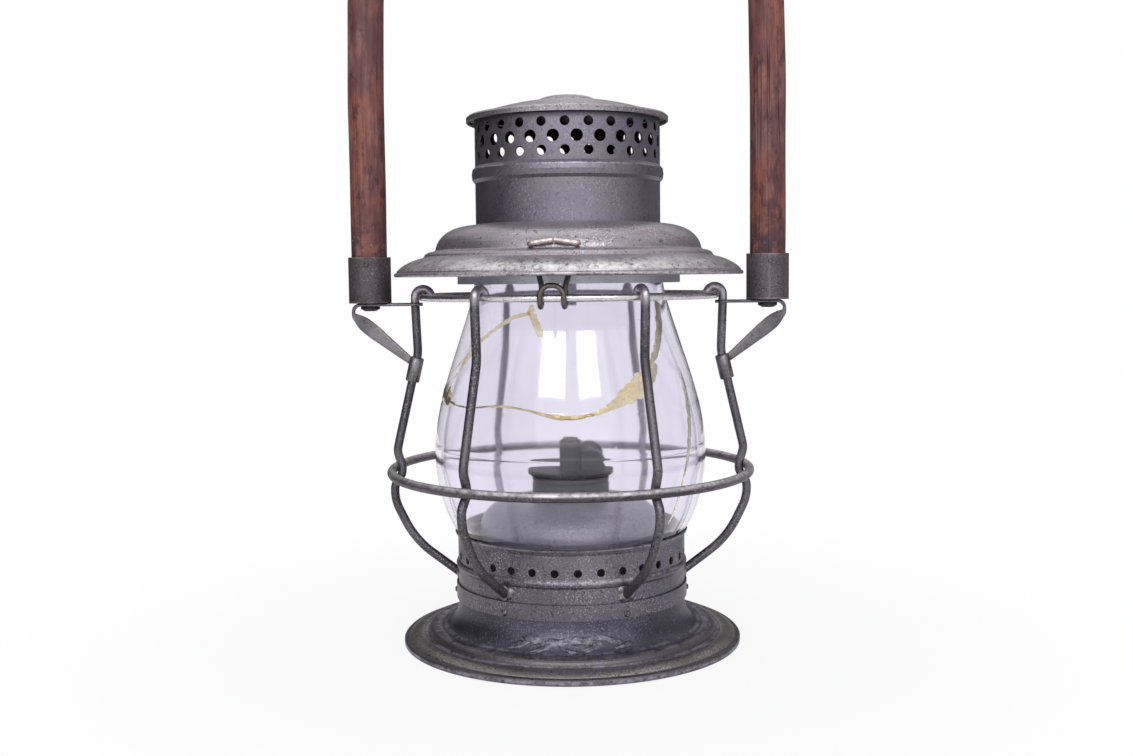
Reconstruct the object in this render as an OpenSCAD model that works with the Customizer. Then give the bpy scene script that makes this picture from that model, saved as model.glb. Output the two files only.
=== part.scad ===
// Railroad lantern with a wire guard, a wooden bail and a hinged vented hood.
// Millimetres. Z is up, the origin is under the middle of the base and the hinge is at the front, -Y.

/* [Sheet metal] */
// Thickness of the spun and rolled sheet
sheet_t = 0.8; // [0.6:0.1:1.0]
// Gap between pieces that are soldered or fitted together
fit_gap = 0.1; // [0.05:0.05:0.2]
// Gap between pieces that move past each other
run_gap = 0.3; // [0.2:0.05:0.5]

/* [Base] */
// Outer radius of the base rim
base_r = 74.5; // [70:0.5:80]
// Height of the rolled base rim
base_rim_h = 2.2; // [1.6:0.1:3]
// Width of the rolled base rim
base_rim_w = 2; // [1.6:0.1:3]
// Radius of the groove inside the outer ring of the base
base_groove_r = 64.2; // [62:0.2:66]
// Radius where the bead of the base turns up into the flare
base_flare_r = 58; // [56:0.2:60]
// Height of the bead of the base
base_bead_z = 7; // [6:0.2:9]
// Height where the flare reaches the neck
flare_top_z = 18; // [16:0.5:19]
// Outer radius of the base neck and the globe collar
neck_r = 50.2; // [49:0.1:52]
// Height of the joint between the base neck and the globe collar
neck_joint_z = 22.7; // [22:0.1:24]
// Width of the strap round that joint
band_w = 6.5; // [5:0.1:8]
// Diameter of the rivet heads on the strap
band_rivet_d = 3; // [2:0.2:4]

/* [Globe collar] */
// Height of the top edge of the globe collar
collar_top_z = 48.6; // [47:0.2:50]
// Height of the middle of the bead round the globe collar
collar_bead_z = 34.4; // [34:0.1:35]
// Number of air holes
air_hole_count = 33; // [24:1:36]
// Diameter of the air holes
air_hole_d = 3.4; // [2.6:0.1:4]
// Height of the air holes
air_hole_z = 39; // [38.6:0.1:39.2]
// Height of the seat under the foot of the globe
globe_seat_z = 42; // [41.6:0.1:43]

/* [Globe] */
// Height of the globe
globe_h = 136; // [135:0.5:136.5]
// Largest radius of the globe
globe_r = 59.6; // [58:0.2:62]
// Height of the largest radius above the foot
globe_belly_h = 41; // [38:0.5:44]
// Radius of the foot
globe_foot_r = 47.4; // [46.5:0.1:47.8]
// Radius of the neck at the top
globe_neck_r = 41; // [40:0.2:41.2]
// Thickness of the glass
glass_t = 3.4; // [2.8:0.1:3.6]

/* [Guard] */
// Diameter of the upright wires
wire_d = 3.8; // [3.2:0.1:4.2]
// Diameter of the ring round the middle of the guard
guard_ring_d = 4; // [3.4:0.1:4.4]
// Radius of that ring at the middle of its wire
guard_ring_r = 78.6; // [77:0.2:80]
// Height of that ring
guard_ring_z = 75.3; // [73:0.1:77]
// Diameter of the wire of the top ring
top_ring_d = 3.1; // [2.6:0.1:3.4]
// Radius of the top ring at the middle of its wire
top_ring_r = 64; // [63:0.2:65]
// Height of the top ring
top_ring_z = 151.4; // [151:0.2:153]
// Height where an upright leans out below the ears
wire_lean_z = 126.5; // [125:0.5:129]
// How far the largest radius of an upright lies inside the middle of the guard ring
wire_belly_in = 0.4; // [0:0.1:1]
// Height where an upright enters the collar
wire_foot_z = 29; // [28:0.2:30]
// Turn of the two front uprights round the lantern, towards -X
front_wire_turn = 3.6; // [0:0.1:5]

/* [Bail] */
// Diameter of the wooden bail
bail_d = 15.8; // [14:0.2:17]
// Gap between the brim of the hood and the ferrules
bail_gap = 1.95; // [1.5:0.05:4]
// How far the bail leans in between its foot and its arch
bail_lean = 2.7; // [0:0.1:4]
// Height where the bail starts to lean in
bail_knee_z = 240; // [200:1:250]
// Height of the middle of the bail at its top
bail_top_z = 358; // [345:0.5:370]
// Outer diameter of the ferrules
ferrule_d = 18.5; // [18:0.1:19]
// Height of the ferrules
ferrule_h = 20; // [16:0.5:24]
// Thickness of the bottom of a ferrule
ferrule_floor = 1.2; // [0.8:0.1:2]
// Depth of the bail rivets in the wood
rivet_grip = 12; // [8:0.5:16]
// Diameter of the heads of the bail rivets
bail_rivet_d = 8.4; // [7:0.1:10]
// Diameter of the shanks of the bail rivets
bail_shank_d = 4; // [3:0.1:5]

/* [Bail ears] */
// Thickness of the ear straps
ear_t = 1.5; // [1.2:0.1:1.8]
// Width of the ear straps
ear_w = 9; // [8:0.2:11]
// Height of the top of the ear straps
ear_top_z = 149; // [148.6:0.1:149.4]
// Distance from the middle of the bail's foot to the outside of an ear's bend
ear_overhang = 9.5; // [9:0.1:11]
// Outside radius of the ear bends
ear_bend_r = 4; // [3.6:0.1:4.6]
// Width of the brace where its twist ends
brace_w = 6.2; // [5:0.1:7]
// Width of the brace where it meets its sleeve
brace_tip_w = 3.2; // [2.6:0.1:4]
// Height of the middle of a sleeve
sleeve_z = 119.6; // [118:0.1:120]
// Length of a sleeve
sleeve_l = 11; // [9:0.2:11.4]
// Wall round the eye of an ear
eye_wall = 1.2; // [1:0.1:1.6]
// Wall of a sleeve
sleeve_t = 1.2; // [0.8:0.1:1.4]

/* [Hood] */
// Width of the brim outside its step
brim_w = 13; // [12:0.1:14]
// Height of the edge of the brim
brim_z = 161; // [160.6:0.1:162]
// Diameter of the rolled edge of the brim
brim_roll_d = 1.8; // [1.6:0.1:2]
// Distance from the outside of the skirt to the foot of the dome
dome_gap = 9.4; // [8.8:0.1:10.4]
// Height of the foot of the dome
dome_foot_z = 171.6; // [171.2:0.1:172]
// Height of the top of the dome
dome_top_z = 182.4; // [182:0.1:184]
// Width of the step between the dome and the brim
step_w = 5; // [4.4:0.1:5.6]
// Distance from the neck of the globe to the outside of the skirt
skirt_gap = 7.6; // [7:0.1:8]
// Height of the lower edge of the skirt
skirt_z = 156.9; // [156:0.1:158]
// Height of the top of the plate that centres the globe
retainer_z = 176.4; // [176:0.1:176.6]

/* [Chimney] */
// Outer radius of the chimney
chimney_r = 40.2; // [39.6:0.1:41]
// Height of the bead round the chimney
chimney_bead_z = 203.7; // [200:0.1:204]
// Height of that bead across its edges
chimney_bead_h = 7.2; // [5:0.1:7.4]
// How far the bead stands out
chimney_bead_out = 1.5; // [1:0.1:2]
// Height of the joint between the chimney and the vent band
vent_joint_z = 207.6; // [207.4:0.1:208]
// Height of the top edge of the vent band
vent_top_z = 228; // [227:0.1:228]
// Number of holes in a row
vent_count = 26; // [20:1:28]
// Diameter of the holes of the outer rows
vent_small_d = 4.05; // [3.4:0.05:4.4]
// Diameter of the holes of the middle row
vent_large_d = 5.1; // [4.4:0.05:5.4]
// Height of the middle row
vent_row_z = 216.9; // [216.6:0.1:217.2]
// Distance between rows
vent_row_step = 5.75; // [5.6:0.05:6]
// Turn of the holes round the chimney, towards -X at the front
vent_turn = 1.4; // [0:0.1:6]
// Radius of the cap
cap_r = 43.8; // [42.8:0.1:45]
// Height of the cap's rim
cap_rim_h = 2.6; // [2:0.1:3.4]
// Radius of the button on the cap
button_r = 12.7; // [11:0.1:14]
// Height of the middle of the cap
cap_top_z = 238; // [237:0.1:240]

/* [Hinge and latch] */
// Diameter of the hinge wire
hinge_d = 2.2; // [1.8:0.1:2.4]
// Turn of the hinge round the lantern from the front, towards -X
hinge_turn = 5.7; // [0:0.1:8]
// Distance between the two loops of the hinge
hinge_span = 9.4; // [8.6:0.1:10]
// Distance between the holes of the hinge wire in the dome
hinge_hole_span = 19; // [16:0.1:20]
// Width of the latch strip
latch_w = 8; // [6:0.2:10]
// Height of the lower end of the latch
latch_tip_z = 145.6; // [145:0.1:146]
// Distance of the latch's arm below the edge of the brim
latch_drop = 1; // [0.6:0.1:1.4]

/* [Fount and burner] */
// Radius of the fount
fount_r = 41; // [39:0.2:42]
// Height of the bottom of the fount
fount_z = 3; // [2:0.1:4]
// Height where the side of the fount starts to round over
fount_shoulder_z = 47; // [44:0.5:50]
// Height of the top of the fount
fount_top_z = 63.2; // [62.8:0.1:63.6]
// Radius of the opening on top of the fount
fount_mouth_r = 13; // [12:0.1:13.5]
// Height of the ring that carries the fount
fount_ring_z = 19; // [18.6:0.1:19.4]
// Number of lugs on the fount
lug_count = 3; // [2:1:4]
// Angle that a lug spans
lug_angle = 24; // [16:1:26]
// Radius of the burner cup
cup_r = 17; // [16.6:0.1:18]
// Height of the top of the burner cup
cup_top_z = 75; // [74.6:0.1:76]
// Width of the cup's flange
cup_flange = 1.85; // [1.2:0.05:2.4]
// Thickness of the wick tube, across its flat faces
tube_t = 9.6; // [9:0.1:10]
// Width of the wick tube
tube_w = 18; // [16:0.1:19]
// Height of the top of the wick tube
tube_top_z = 87; // [85:0.1:89]
// Thickness of the wick
wick_t = 6.8; // [6.2:0.1:7]
// Height that the wick stands above its tube
wick_up = 1.6; // [1:0.1:3]
// Length of the wick
wick_l = 60; // [40:1:70]
// Radius of the spur wheels
spur_r = 5; // [4.8:0.05:5.05]
// Number of teeth on a spur wheel
spur_teeth = 10; // [8:1:12]
// Height of the wick shaft
shaft_z = 77.6; // [77.5:0.05:78]
// Diameter of the wick shaft
shaft_d = 2.4; // [2:0.1:2.8]
// Distance from the axis to the far face of the thumb wheel
thumb_reach = 28; // [24:0.5:30]
// Diameter of the thumb wheel
thumb_d = 13; // [10:0.2:14]

/* [Hidden] */
WIRES = 6;
$fn = 96;

// Colours
STEEL = "#6b6a6e";
WORN_STEEL = "#8d8783";
BRIGHT = "#a9a7a5";
WIRE = "#5f5c5b";
WOOD = "#6a3524";
GLASS = "#d9d3e6";
SOOT = "#37353a";
COTTON = "#d8d0bc";

// Points along a cubic curve
function curve(a, b, c, d, n = 8) = [
    for (i = [0 : n])
        let (t = i / n, s = 1 - t)
        s * s * s * a + 3 * s * s * t * b + 3 * s * t * t * c + t * t * t * d
];

// Normal of a stretch of outline, to the left of its direction
function side(a, b) = let (v = (b - a) / norm(b - a)) [-v.y, v.x];

// A point of an outline moved by t to its left, mitred between its two stretches
function shifted(path, i, t) = let (
    last = len(path) - 1,
    n0 = side(path[max(i - 1, 0)], path[max(i, 1)]),
    n1 = side(path[min(i, last - 1)], path[min(i + 1, last)]),
    q = path[i] + t * (n0 + n1) / (1 + n0 * n1)
) [max(q.x, 0), q.y];

// Closed outline of a sheet whose outside follows the path, walked with its inside on the left
function sheet(path, t = sheet_t) = concat(
    path, [for (i = [len(path) - 1 : -1 : 0]) shifted(path, i, t)]
);

// Sheet metal or glass spun round the axis
module spun(path, t = sheet_t) {
    rotate_extrude() polygon(sheet(path, t));
}

// Flat ring or plain tube
module ring(outer, inner, z, h) {
    translate([0, 0, z])
        difference() {
            cylinder(r = outer, h = h);
            translate([0, 0, -1]) cylinder(r = inner, h = h + 2);
        }
}

// Round wire ring
module wire_ring(r, d, z) {
    translate([0, 0, z]) rotate_extrude() translate([r, 0]) circle(d = d, $fn = 32);
}

// Unit vector
function unit(v) = v / norm(v);

// Turn between the stretches that meet at point i
function bend_angle(p, i) = let (u = unit(p[i] - p[i - 1]), v = unit(p[i + 1] - p[i]))
    atan2(norm(cross(u, v)), u * v);

// Length of straight wire that the bend at point i takes up on each side
function bend_reach(p, radii, i) =
    i == 0 || i == len(p) - 1 ? 0 : radii[i - 1] * tan(bend_angle(p, i) / 2);

// Frame with the given axes at a place
function frame(x, y, z, at) = [
    [x.x, y.x, z.x, at.x], [x.y, y.y, z.y, at.y], [x.z, y.z, z.z, at.z], [0, 0, 0, 1]
];

// Any direction square to v
function square_to(v) = unit(abs(v.y) < 0.9 ? cross(v, [0, 1, 0]) : cross(v, [1, 0, 0]));

// How far a straight stretch laps into the bends beside it, and how much slimmer a bend is drawn,
// so that both always join into one solid
lap = 0.05;
slim = 0.02;

// Round rod bent at each inner point of a path to the radius listed for it
module bent_rod(p, radii, d) {
    last = len(p) - 1;
    for (i = [0 : last - 1]) {
        u = unit(p[i + 1] - p[i]);
        from = p[i] + (bend_reach(p, radii, i) - (i == 0 ? 0 : lap)) * u;
        to = p[i + 1] - (bend_reach(p, radii, i + 1) - (i + 1 == last ? 0 : lap)) * u;
        x = square_to(u);
        multmatrix(frame(x, cross(u, x), u, from)) cylinder(d = d, h = norm(to - from), $fn = 32);
    }
    for (i = [1 : last - 1]) {
        u = unit(p[i] - p[i - 1]);
        v = unit(p[i + 1] - p[i]);
        axis = unit(cross(u, v));
        inward = cross(axis, u);
        start = p[i] - bend_reach(p, radii, i) * u;
        multmatrix(frame(-inward, u, axis, start + radii[i - 1] * inward))
            rotate_extrude(angle = bend_angle(p, i))
                translate([radii[i - 1], 0]) circle(d = d - slim, $fn = 32);
    }
}

// A copy at each upright
module at_wires() {
    for (i = [1 : WIRES]) rotate([0, 0, wire_angle(i)]) children();
}

// Copies spaced evenly round the axis
module around(n, start = 0) {
    for (i = [0 : n - 1]) rotate([0, 0, start + i * 360 / n]) children();
}

// Chain of radii from the globe's neck out to the ears
skirt_r = globe_neck_r + skirt_gap;
dome_r = skirt_r + dome_gap;
step_r = dome_r + step_w;
brim_r = step_r + brim_w;
bail_foot_x = brim_r + bail_gap + ferrule_d / 2;
bail_arch_x = bail_foot_x - bail_lean;
ear_reach = bail_foot_x + ear_overhang;
latch_arm_z = brim_z - latch_drop;

// Front of the lantern, and the angle of an upright round it; uprights 5 and 6 are in front
FRONT = -90;
function wire_angle(i) = (i - 1) * 360 / WIRES - (i > 4 ? front_wire_turn : 0);

// Places worked out from the sizes above
wire_gap = fit_gap / 2;
hook_r = (top_ring_d + wire_d) / 2 + wire_gap;
wire_top_r = top_ring_r + hook_r;
kink_r = guard_ring_r - (guard_ring_d + wire_d) / 2 - wire_gap;
wire_belly_r = guard_ring_r - wire_belly_in;
foot_lean = 37;
foot_in = 1.6;
foot_rise = tan(foot_lean);
belly_z = 61.6;
turn_r = wire_belly_r - 8.7;
turn_z = wire_foot_z + (turn_r - neck_r) * foot_rise;

// Middle line of an upright in its own radial plane, from the collar to the hook over the top ring
WIRE_PATH = [
    [neck_r - foot_in, 0, wire_foot_z - foot_in * foot_rise],
    [turn_r, 0, turn_z],
    [wire_belly_r, 0, belly_z],
    [wire_belly_r - 0.2, 0, guard_ring_z - 7],
    [kink_r, 0, guard_ring_z - 1.7],
    [kink_r, 0, guard_ring_z + 1.7],
    [kink_r + 2.1, 0, guard_ring_z + 8.2],
    [wire_top_r - 0.8, 0, wire_lean_z],
    [wire_top_r, 0, top_ring_z - 4],
    [wire_top_r, 0, top_ring_z + hook_r],
    [wire_top_r - 2 * hook_r, 0, top_ring_z + hook_r],
    [wire_top_r - 2 * hook_r, 0, top_ring_z - 0.6]
];
WIRE_BENDS = [40, 18, 6, 4, 4, 8, 20, 40, hook_r - lap, hook_r - lap];

// Direction of an upright along its leaning stretch, and its middle at the height of the sleeve
lean_low = WIRE_PATH[6];
lean_dir = unit(WIRE_PATH[7] - lean_low);
sleeve_at = lean_low + lean_dir * (sleeve_z - lean_low.z) / lean_dir.z;
sleeve_r = wire_d / 2 + fit_gap + sleeve_t;

// Bend of an ear: its middle, the radius of its middle line and where the brace leaves it
ear_bend = [ear_reach - ear_bend_r, 0, ear_top_z - ear_bend_r];
ear_mid_r = ear_bend_r - ear_t / 2;
brace_end = sleeve_at + (sleeve_l - brace_tip_w) / 2 * lean_dir + [sleeve_r - sleeve_t / 2, 0, 0];
brace_gap = brace_end - ear_bend;
brace_turn = atan2(brace_gap.z, brace_gap.x) + acos(ear_mid_r / norm(brace_gap));
brace_side = [cos(brace_turn), 0, sin(brace_turn)];
brace_start = ear_bend + ear_mid_r * brace_side;
BRACE_RINGS = 12;
twist_end = 0.4;

// Bail
bail_foot_z = ear_top_z + ferrule_floor + fit_gap;
bail_bend_r = bail_arch_x - 0.8;
bail_knee_r = 600;
ferrule_bore_d = bail_d + 2 * run_gap;
tack_d = 2.4;
tack_head_h = 0.5;
tack_l = 6;
tack_z = ear_top_z + ferrule_h - 3.2;

// Strap round the neck joint, and its rivets
band_out = sheet_t + fit_gap;
band_z = neck_joint_z - band_w / 2;
band_rivet_z = band_z + band_rivet_d / 2 + 0.2;
band_shank_d = band_rivet_d * 0.6;

// Fount seat
fount_ring_t = 1.2;
fount_ring_r = fount_r + 1;
lug_r = fount_r + 4.5;
lug_z = fount_ring_z + fount_ring_t + run_gap;
notch_angle = lug_angle + 6;
mouth_collar_h = 5;
mouth_collar_t = 2;

// Burner
tube_wall = 0.8;
shaft_x = wick_t / 2 + run_gap + 0.1 + spur_r;
shaft_fit = 0.1;
spur_y = 4;
spur_t = 1;
slot_half = spur_y + spur_t;
box_r = spur_r + 1.2;
box_half = 7.5;
thumb_t = 3;
cup_bead_z = cup_top_z - 5.2;
cup_bead_h = 0.8;
cup_bead_in = 0.6;

// Latch
latch_t = 0.9;
nose_y = top_ring_r - top_ring_d / 2 - run_gap - 0.1;
latch_y = nose_y - 1.2;

// Hinge wire
loop_r = (top_ring_d + hinge_d) / 2 + 0.7;
hinge_r = sqrt(top_ring_r * top_ring_r - hinge_span * hinge_span / 4);
clinch_z = dome_foot_z + 1.2;
clinch_y = dome_r + hinge_d / 2 + fit_gap;
clinch_gap = 0.35;
clinch_rise = 1.4;
retainer_gap = 2.7;

// Outside of the base, from its rim up to the neck
BASE_PATH = concat(
    [
        [base_r - 0.6, base_rim_h],
        [base_r - base_rim_w, base_rim_h + 0.3],
        [base_groove_r + 1, base_rim_h + 2],
        [base_groove_r, base_rim_h + 1.7]
    ],
    curve([base_groove_r - 0.4, base_rim_h + 1.9], [base_groove_r - 0.6, base_bead_z + 0.4],
        [base_flare_r + 2.4, base_bead_z + 0.5], [base_flare_r, base_bead_z - 0.2], 8),
    curve([base_flare_r - 0.4, base_bead_z - 0.2], [base_flare_r - 4.6, base_bead_z + 0.5],
        [neck_r, flare_top_z - 6.5], [neck_r, flare_top_z], 10),
    [[neck_r, neck_joint_z]]
);

// Outside of the globe collar, from the neck joint up to its flared edge
collar_bead_half = 2;
collar_bead_out = 0.9;
COLLAR_PATH = [
    [neck_r, neck_joint_z],
    [neck_r, collar_bead_z - collar_bead_half],
    [neck_r + 0.7 * collar_bead_out, collar_bead_z - 0.5 * collar_bead_half],
    [neck_r + collar_bead_out, collar_bead_z],
    [neck_r + 0.7 * collar_bead_out, collar_bead_z + 0.5 * collar_bead_half],
    [neck_r, collar_bead_z + collar_bead_half],
    [neck_r, collar_top_z - 2.4],
    [neck_r + 0.8, collar_top_z - 0.9],
    [neck_r + 1.2, collar_top_z]
];

// Outside of the globe, from its foot up to its neck
belly_z_at = globe_seat_z + fit_gap + globe_belly_h;
globe_top_z = globe_seat_z + fit_gap + globe_h;
GLOBE_PATH = concat(
    [[globe_foot_r, globe_seat_z + fit_gap]],
    curve([globe_foot_r, globe_seat_z + 3.6], [globe_foot_r + 6.1, globe_seat_z + 8.5],
        [globe_r, belly_z_at - 17], [globe_r, belly_z_at], 12),
    [for (i = [1 : 14]) curve([globe_r, belly_z_at], [globe_r, belly_z_at + 20],
        [globe_neck_r + 9.5, belly_z_at + 41], [globe_neck_r + 2.8, belly_z_at + 63], 14)[i]],
    [for (i = [1 : 6]) curve([globe_neck_r + 2.8, belly_z_at + 63], [globe_neck_r + 1.2, belly_z_at + 68.3],
        [globe_neck_r, belly_z_at + 73], [globe_neck_r, belly_z_at + 78], 6)[i]],
    [[globe_neck_r, globe_top_z]]
);

// Outside of the hood, from the brim up over the dome to the foot of the chimney
HOOD_PATH = concat(
    [[brim_r - brim_roll_d / 2, brim_z]],
    curve([brim_r - 1.2, brim_z + 1.6], [brim_r - 3.4, brim_z + 4.2],
        [brim_r - 8, brim_z + 6.4], [step_r + 0.6, brim_z + 7.3], 8),
    curve([step_r, brim_z + 7.8], [step_r - 0.4, dome_foot_z - 1.4],
        [dome_r + 3, dome_foot_z - 0.8], [dome_r + 0.6, dome_foot_z - 0.5], 6),
    [for (i = [0 : 12]) curve([dome_r, dome_foot_z], [dome_r - 1, dome_foot_z + 6],
        [chimney_r + 11.3, dome_top_z - 1.2], [chimney_r + 3.8, dome_top_z - 0.4], 12)[i]],
    [
        [chimney_r + 0.6, dome_top_z],
        [chimney_r - 2, dome_top_z]
    ]
);

// Outside of the cap, from the edge of its rim to its middle
cap_rim_z = vent_top_z + sheet_t + fit_gap;
CAP_PATH = concat(
    [
        [cap_r - 0.5, cap_rim_z - cap_rim_h - 0.4],
        [cap_r, cap_rim_z - cap_rim_h],
        [cap_r, cap_rim_z - 0.8],
        [cap_r - 0.9, cap_rim_z]
    ],
    curve([chimney_r + 0.2, cap_rim_z + 0.3], [chimney_r - 9, cap_rim_z + 3],
        [button_r + 9, cap_top_z - 3.4], [button_r + 1.2, cap_top_z - 2.9], 8),
    curve([button_r, cap_top_z - 2.6], [button_r - 0.4, cap_top_z - 1.2],
        [button_r - 5, cap_top_z], [0, cap_top_z], 8)
);

// Middle line of the hinge wire, before its turn round the lantern
function mirrored(p) = [-p.x, p.y, p.z];
HINGE_HALF = [
    [-clinch_gap, -clinch_y, clinch_z + clinch_rise],
    [-hinge_hole_span / 2, -clinch_y, clinch_z],
    [-hinge_hole_span / 2, -(dome_r - 4.6), clinch_z],
    [-hinge_span / 2, -(hinge_r - loop_r), top_ring_z + 5],
    [-hinge_span / 2, -(hinge_r - loop_r), top_ring_z - loop_r],
    [-hinge_span / 2, -(hinge_r + loop_r), top_ring_z - loop_r],
    [-hinge_span / 2, -(hinge_r + loop_r), top_ring_z + 5]
];
HINGE_PATH = concat(HINGE_HALF, [for (i = [len(HINGE_HALF) - 1 : -1 : 0]) mirrored(HINGE_HALF[i])]);
HINGE_HALF_BENDS = [1.3, 1.3, 6, loop_r - lap, loop_r - lap, hinge_span / 2 - 0.4];
HINGE_BENDS = concat(HINGE_HALF_BENDS, [for (i = [len(HINGE_HALF_BENDS) - 1 : -1 : 0]) HINGE_HALF_BENDS[i]]);

// Flat shape with round ends, long along Y
module obround(t, w) {
    square([t, w - t], center = true);
    for (s = [-1, 1]) translate([0, s * (w - t) / 2]) circle(d = t);
}

// Sector of a flat ring that starts at the +X axis
module sector(inner, outer, h, angle) {
    rotate_extrude(angle = angle) translate([inner, 0]) square([outer - inner, h]);
}

// Row of radial holes through a wall at the front of the row
module hole_row(n, d, r, z, start) {
    around(n, start) translate([r - 3, 0, z]) rotate([0, 90, 0]) cylinder(d = d, h = 6, $fn = 24);
}

// Foot of an upright where it passes through the collar, with room round it
module wire_foot(room) {
    dir = unit(WIRE_PATH[1] - WIRE_PATH[0]);
    x = square_to(dir);
    multmatrix(frame(x, cross(dir, x), dir, WIRE_PATH[0] - 3 * dir))
        cylinder(d = wire_d + 2 * room, h = 9, $fn = 32);
}

// Shank of a strap rivet, with room round it
module band_shank(room) {
    translate([neck_r - sheet_t, 0, band_rivet_z]) rotate([0, 90, 0])
        cylinder(d = band_shank_d + 2 * room, h = sheet_t + band_out + 2 * room, $fn = 24);
}

module base_bell() {
    last = len(BASE_PATH) - 1;
    color(STEEL) difference() {
        rotate_extrude() polygon(concat(
            [[base_r - base_rim_w, 0], [base_r, 0], [base_r, base_rim_h - 0.6]],
            BASE_PATH,
            [for (i = [last : -1 : 1]) shifted(BASE_PATH, i, sheet_t)]
        ));
        at_wires() translate([-sheet_t, 0, 0]) band_shank(fit_gap);
    }
}

module fount_ring() {
    color(STEEL) difference() {
        ring(neck_r - sheet_t - fit_gap, fount_ring_r, fount_ring_z, fount_ring_t);
        around(lug_count, 180 / lug_count - notch_angle / 2) translate([0, 0, fount_ring_z - 1])
            sector(fount_r, lug_r + 0.8, fount_ring_t + 2, notch_angle);
    }
}

module joint_band() {
    color(STEEL) difference() {
        ring(neck_r + band_out, neck_r + fit_gap, band_z, band_w);
        at_wires() band_shank(fit_gap);
    }
}

module band_rivets() {
    color(WORN_STEEL) at_wires() {
        band_shank(0);
        translate([neck_r + band_out, 0, band_rivet_z]) rotate([0, 90, 0])
            cylinder(d1 = band_rivet_d, d2 = band_rivet_d * 0.6, h = 0.9, $fn = 24);
    }
}

module globe_collar() {
    first_hole = FRONT + 2.9;
    color(STEEL) difference() {
        spun(COLLAR_PATH);
        hole_row(air_hole_count, air_hole_d, neck_r, air_hole_z, first_hole);
        at_wires() wire_foot(fit_gap);
    }
}

module globe_seat() {
    color(STEEL)
        ring(neck_r - sheet_t - fit_gap, globe_foot_r - glass_t - 0.6, globe_seat_z - sheet_t, sheet_t);
}

module globe() {
    color(GLASS, 0.4) spun(GLOBE_PATH, glass_t);
}

module top_ring() {
    color(BRIGHT) wire_ring(top_ring_r, top_ring_d, top_ring_z);
}

module guard_ring() {
    color(WIRE) wire_ring(guard_ring_r, guard_ring_d, guard_ring_z);
}

module guard_wire(i) {
    color(WIRE) rotate([0, 0, wire_angle(i)]) bent_rod(WIRE_PATH, WIRE_BENDS, wire_d);
}

// Corners of the twisted brace at one of its rings
function brace_ring(k) = let (
    t = k / BRACE_RINGS,
    from = brace_start - lap * unit(brace_end - brace_start),
    at = from + t * (brace_end - from),
    done = min(t / twist_end, 1),
    w = (t < twist_end ? ear_w + done * (brace_w - ear_w)
        : brace_w + (t - twist_end) / (1 - twist_end) * (brace_tip_w - brace_w)) / 2,
    across = [0, cos(90 * done), 0] + sin(90 * done) * brace_side,
    through = [0, -sin(90 * done), 0] + cos(90 * done) * brace_side
) [for (c = [[-1, -1], [1, -1], [1, 1], [-1, 1]]) at + c.x * w * across + c.y * ear_t / 2 * through];

module brace() {
    last = 4 * BRACE_RINGS;
    polyhedron(
        points = [for (k = [0 : BRACE_RINGS]) each brace_ring(k)],
        faces = concat(
            [[0, 1, 2, 3], [last + 3, last + 2, last + 1, last]],
            [for (k = [0 : BRACE_RINGS - 1], j = [0 : 3]) each let (a = 4 * k + j, b = 4 * k + (j + 1) % 4)
                [[a, b + 4, b], [a, a + 4, b + 4]]]
        )
    );
}

module ear() {
    eye_r = wire_d / 2 + run_gap + eye_wall;
    eye_w = 2 * eye_r;
    sleeve_x = square_to(lean_dir);
    color(BRIGHT) difference() {
        union() {
            translate([0, 0, ear_top_z - ear_t]) linear_extrude(ear_t) polygon([
                [wire_top_r, -eye_w / 2], [bail_foot_x - ear_w / 2, -ear_w / 2], [ear_bend.x + lap, -ear_w / 2],
                [ear_bend.x + lap, ear_w / 2], [bail_foot_x - ear_w / 2, ear_w / 2], [wire_top_r, eye_w / 2]
            ]);
            translate([wire_top_r, 0, ear_top_z - ear_t]) cylinder(r = eye_r, h = ear_t, $fn = 48);
            translate(ear_bend) rotate([90, 0, 0]) rotate([0, 0, brace_turn])
                rotate_extrude(angle = 90 - brace_turn)
                    translate([ear_bend_r - ear_t + slim, slim - ear_w / 2])
                        square([ear_t - 2 * slim, ear_w - 2 * slim]);
            brace();
            multmatrix(frame(sleeve_x, cross(lean_dir, sleeve_x), lean_dir, sleeve_at - sleeve_l / 2 * lean_dir))
                cylinder(r = sleeve_r, h = sleeve_l, $fn = 48);
        }
        translate([wire_top_r, 0, ear_top_z - 4 * ear_t])
            cylinder(d = wire_d + 2 * run_gap, h = 5 * ear_t, $fn = 48);
        translate([bail_foot_x, 0, ear_top_z - 2 * ear_t])
            cylinder(d = bail_shank_d + 2 * fit_gap, h = 3 * ear_t, $fn = 32);
        multmatrix(frame(sleeve_x, cross(lean_dir, sleeve_x), lean_dir, sleeve_at - sleeve_l * lean_dir))
            cylinder(d = wire_d + 2 * fit_gap, h = 2 * sleeve_l, $fn = 48);
    }
}

// Tack through the front of a ferrule into the wood, with room round it
module tack(room) {
    translate([bail_foot_x, -ferrule_d / 2 - tack_head_h, tack_z]) rotate([-90, 0, 0]) {
        cylinder(d1 = tack_d * 0.6, d2 = tack_d, h = tack_head_h, $fn = 24);
        cylinder(d = tack_d / 2 + 2 * room, h = tack_l + room, $fn = 24);
    }
}

// Rivet up through an ear and a ferrule into the wood
module bail_rivet() {
    head_z = ear_top_z - ear_t;
    translate([bail_foot_x, 0, head_z - 1]) cylinder(d = bail_rivet_d, h = 1, $fn = 32);
    translate([bail_foot_x, 0, head_z - 2])
        cylinder(d1 = bail_rivet_d * 0.6, d2 = bail_rivet_d, h = 1, $fn = 32);
    bail_shank(0);
}

// Shank of that rivet, with room round it
module bail_shank(room) {
    translate([bail_foot_x, 0, ear_top_z - ear_t - room])
        cylinder(d = bail_shank_d + 2 * room, h = bail_foot_z + rivet_grip + 2 * room - ear_top_z + ear_t, $fn = 32);
}

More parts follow.
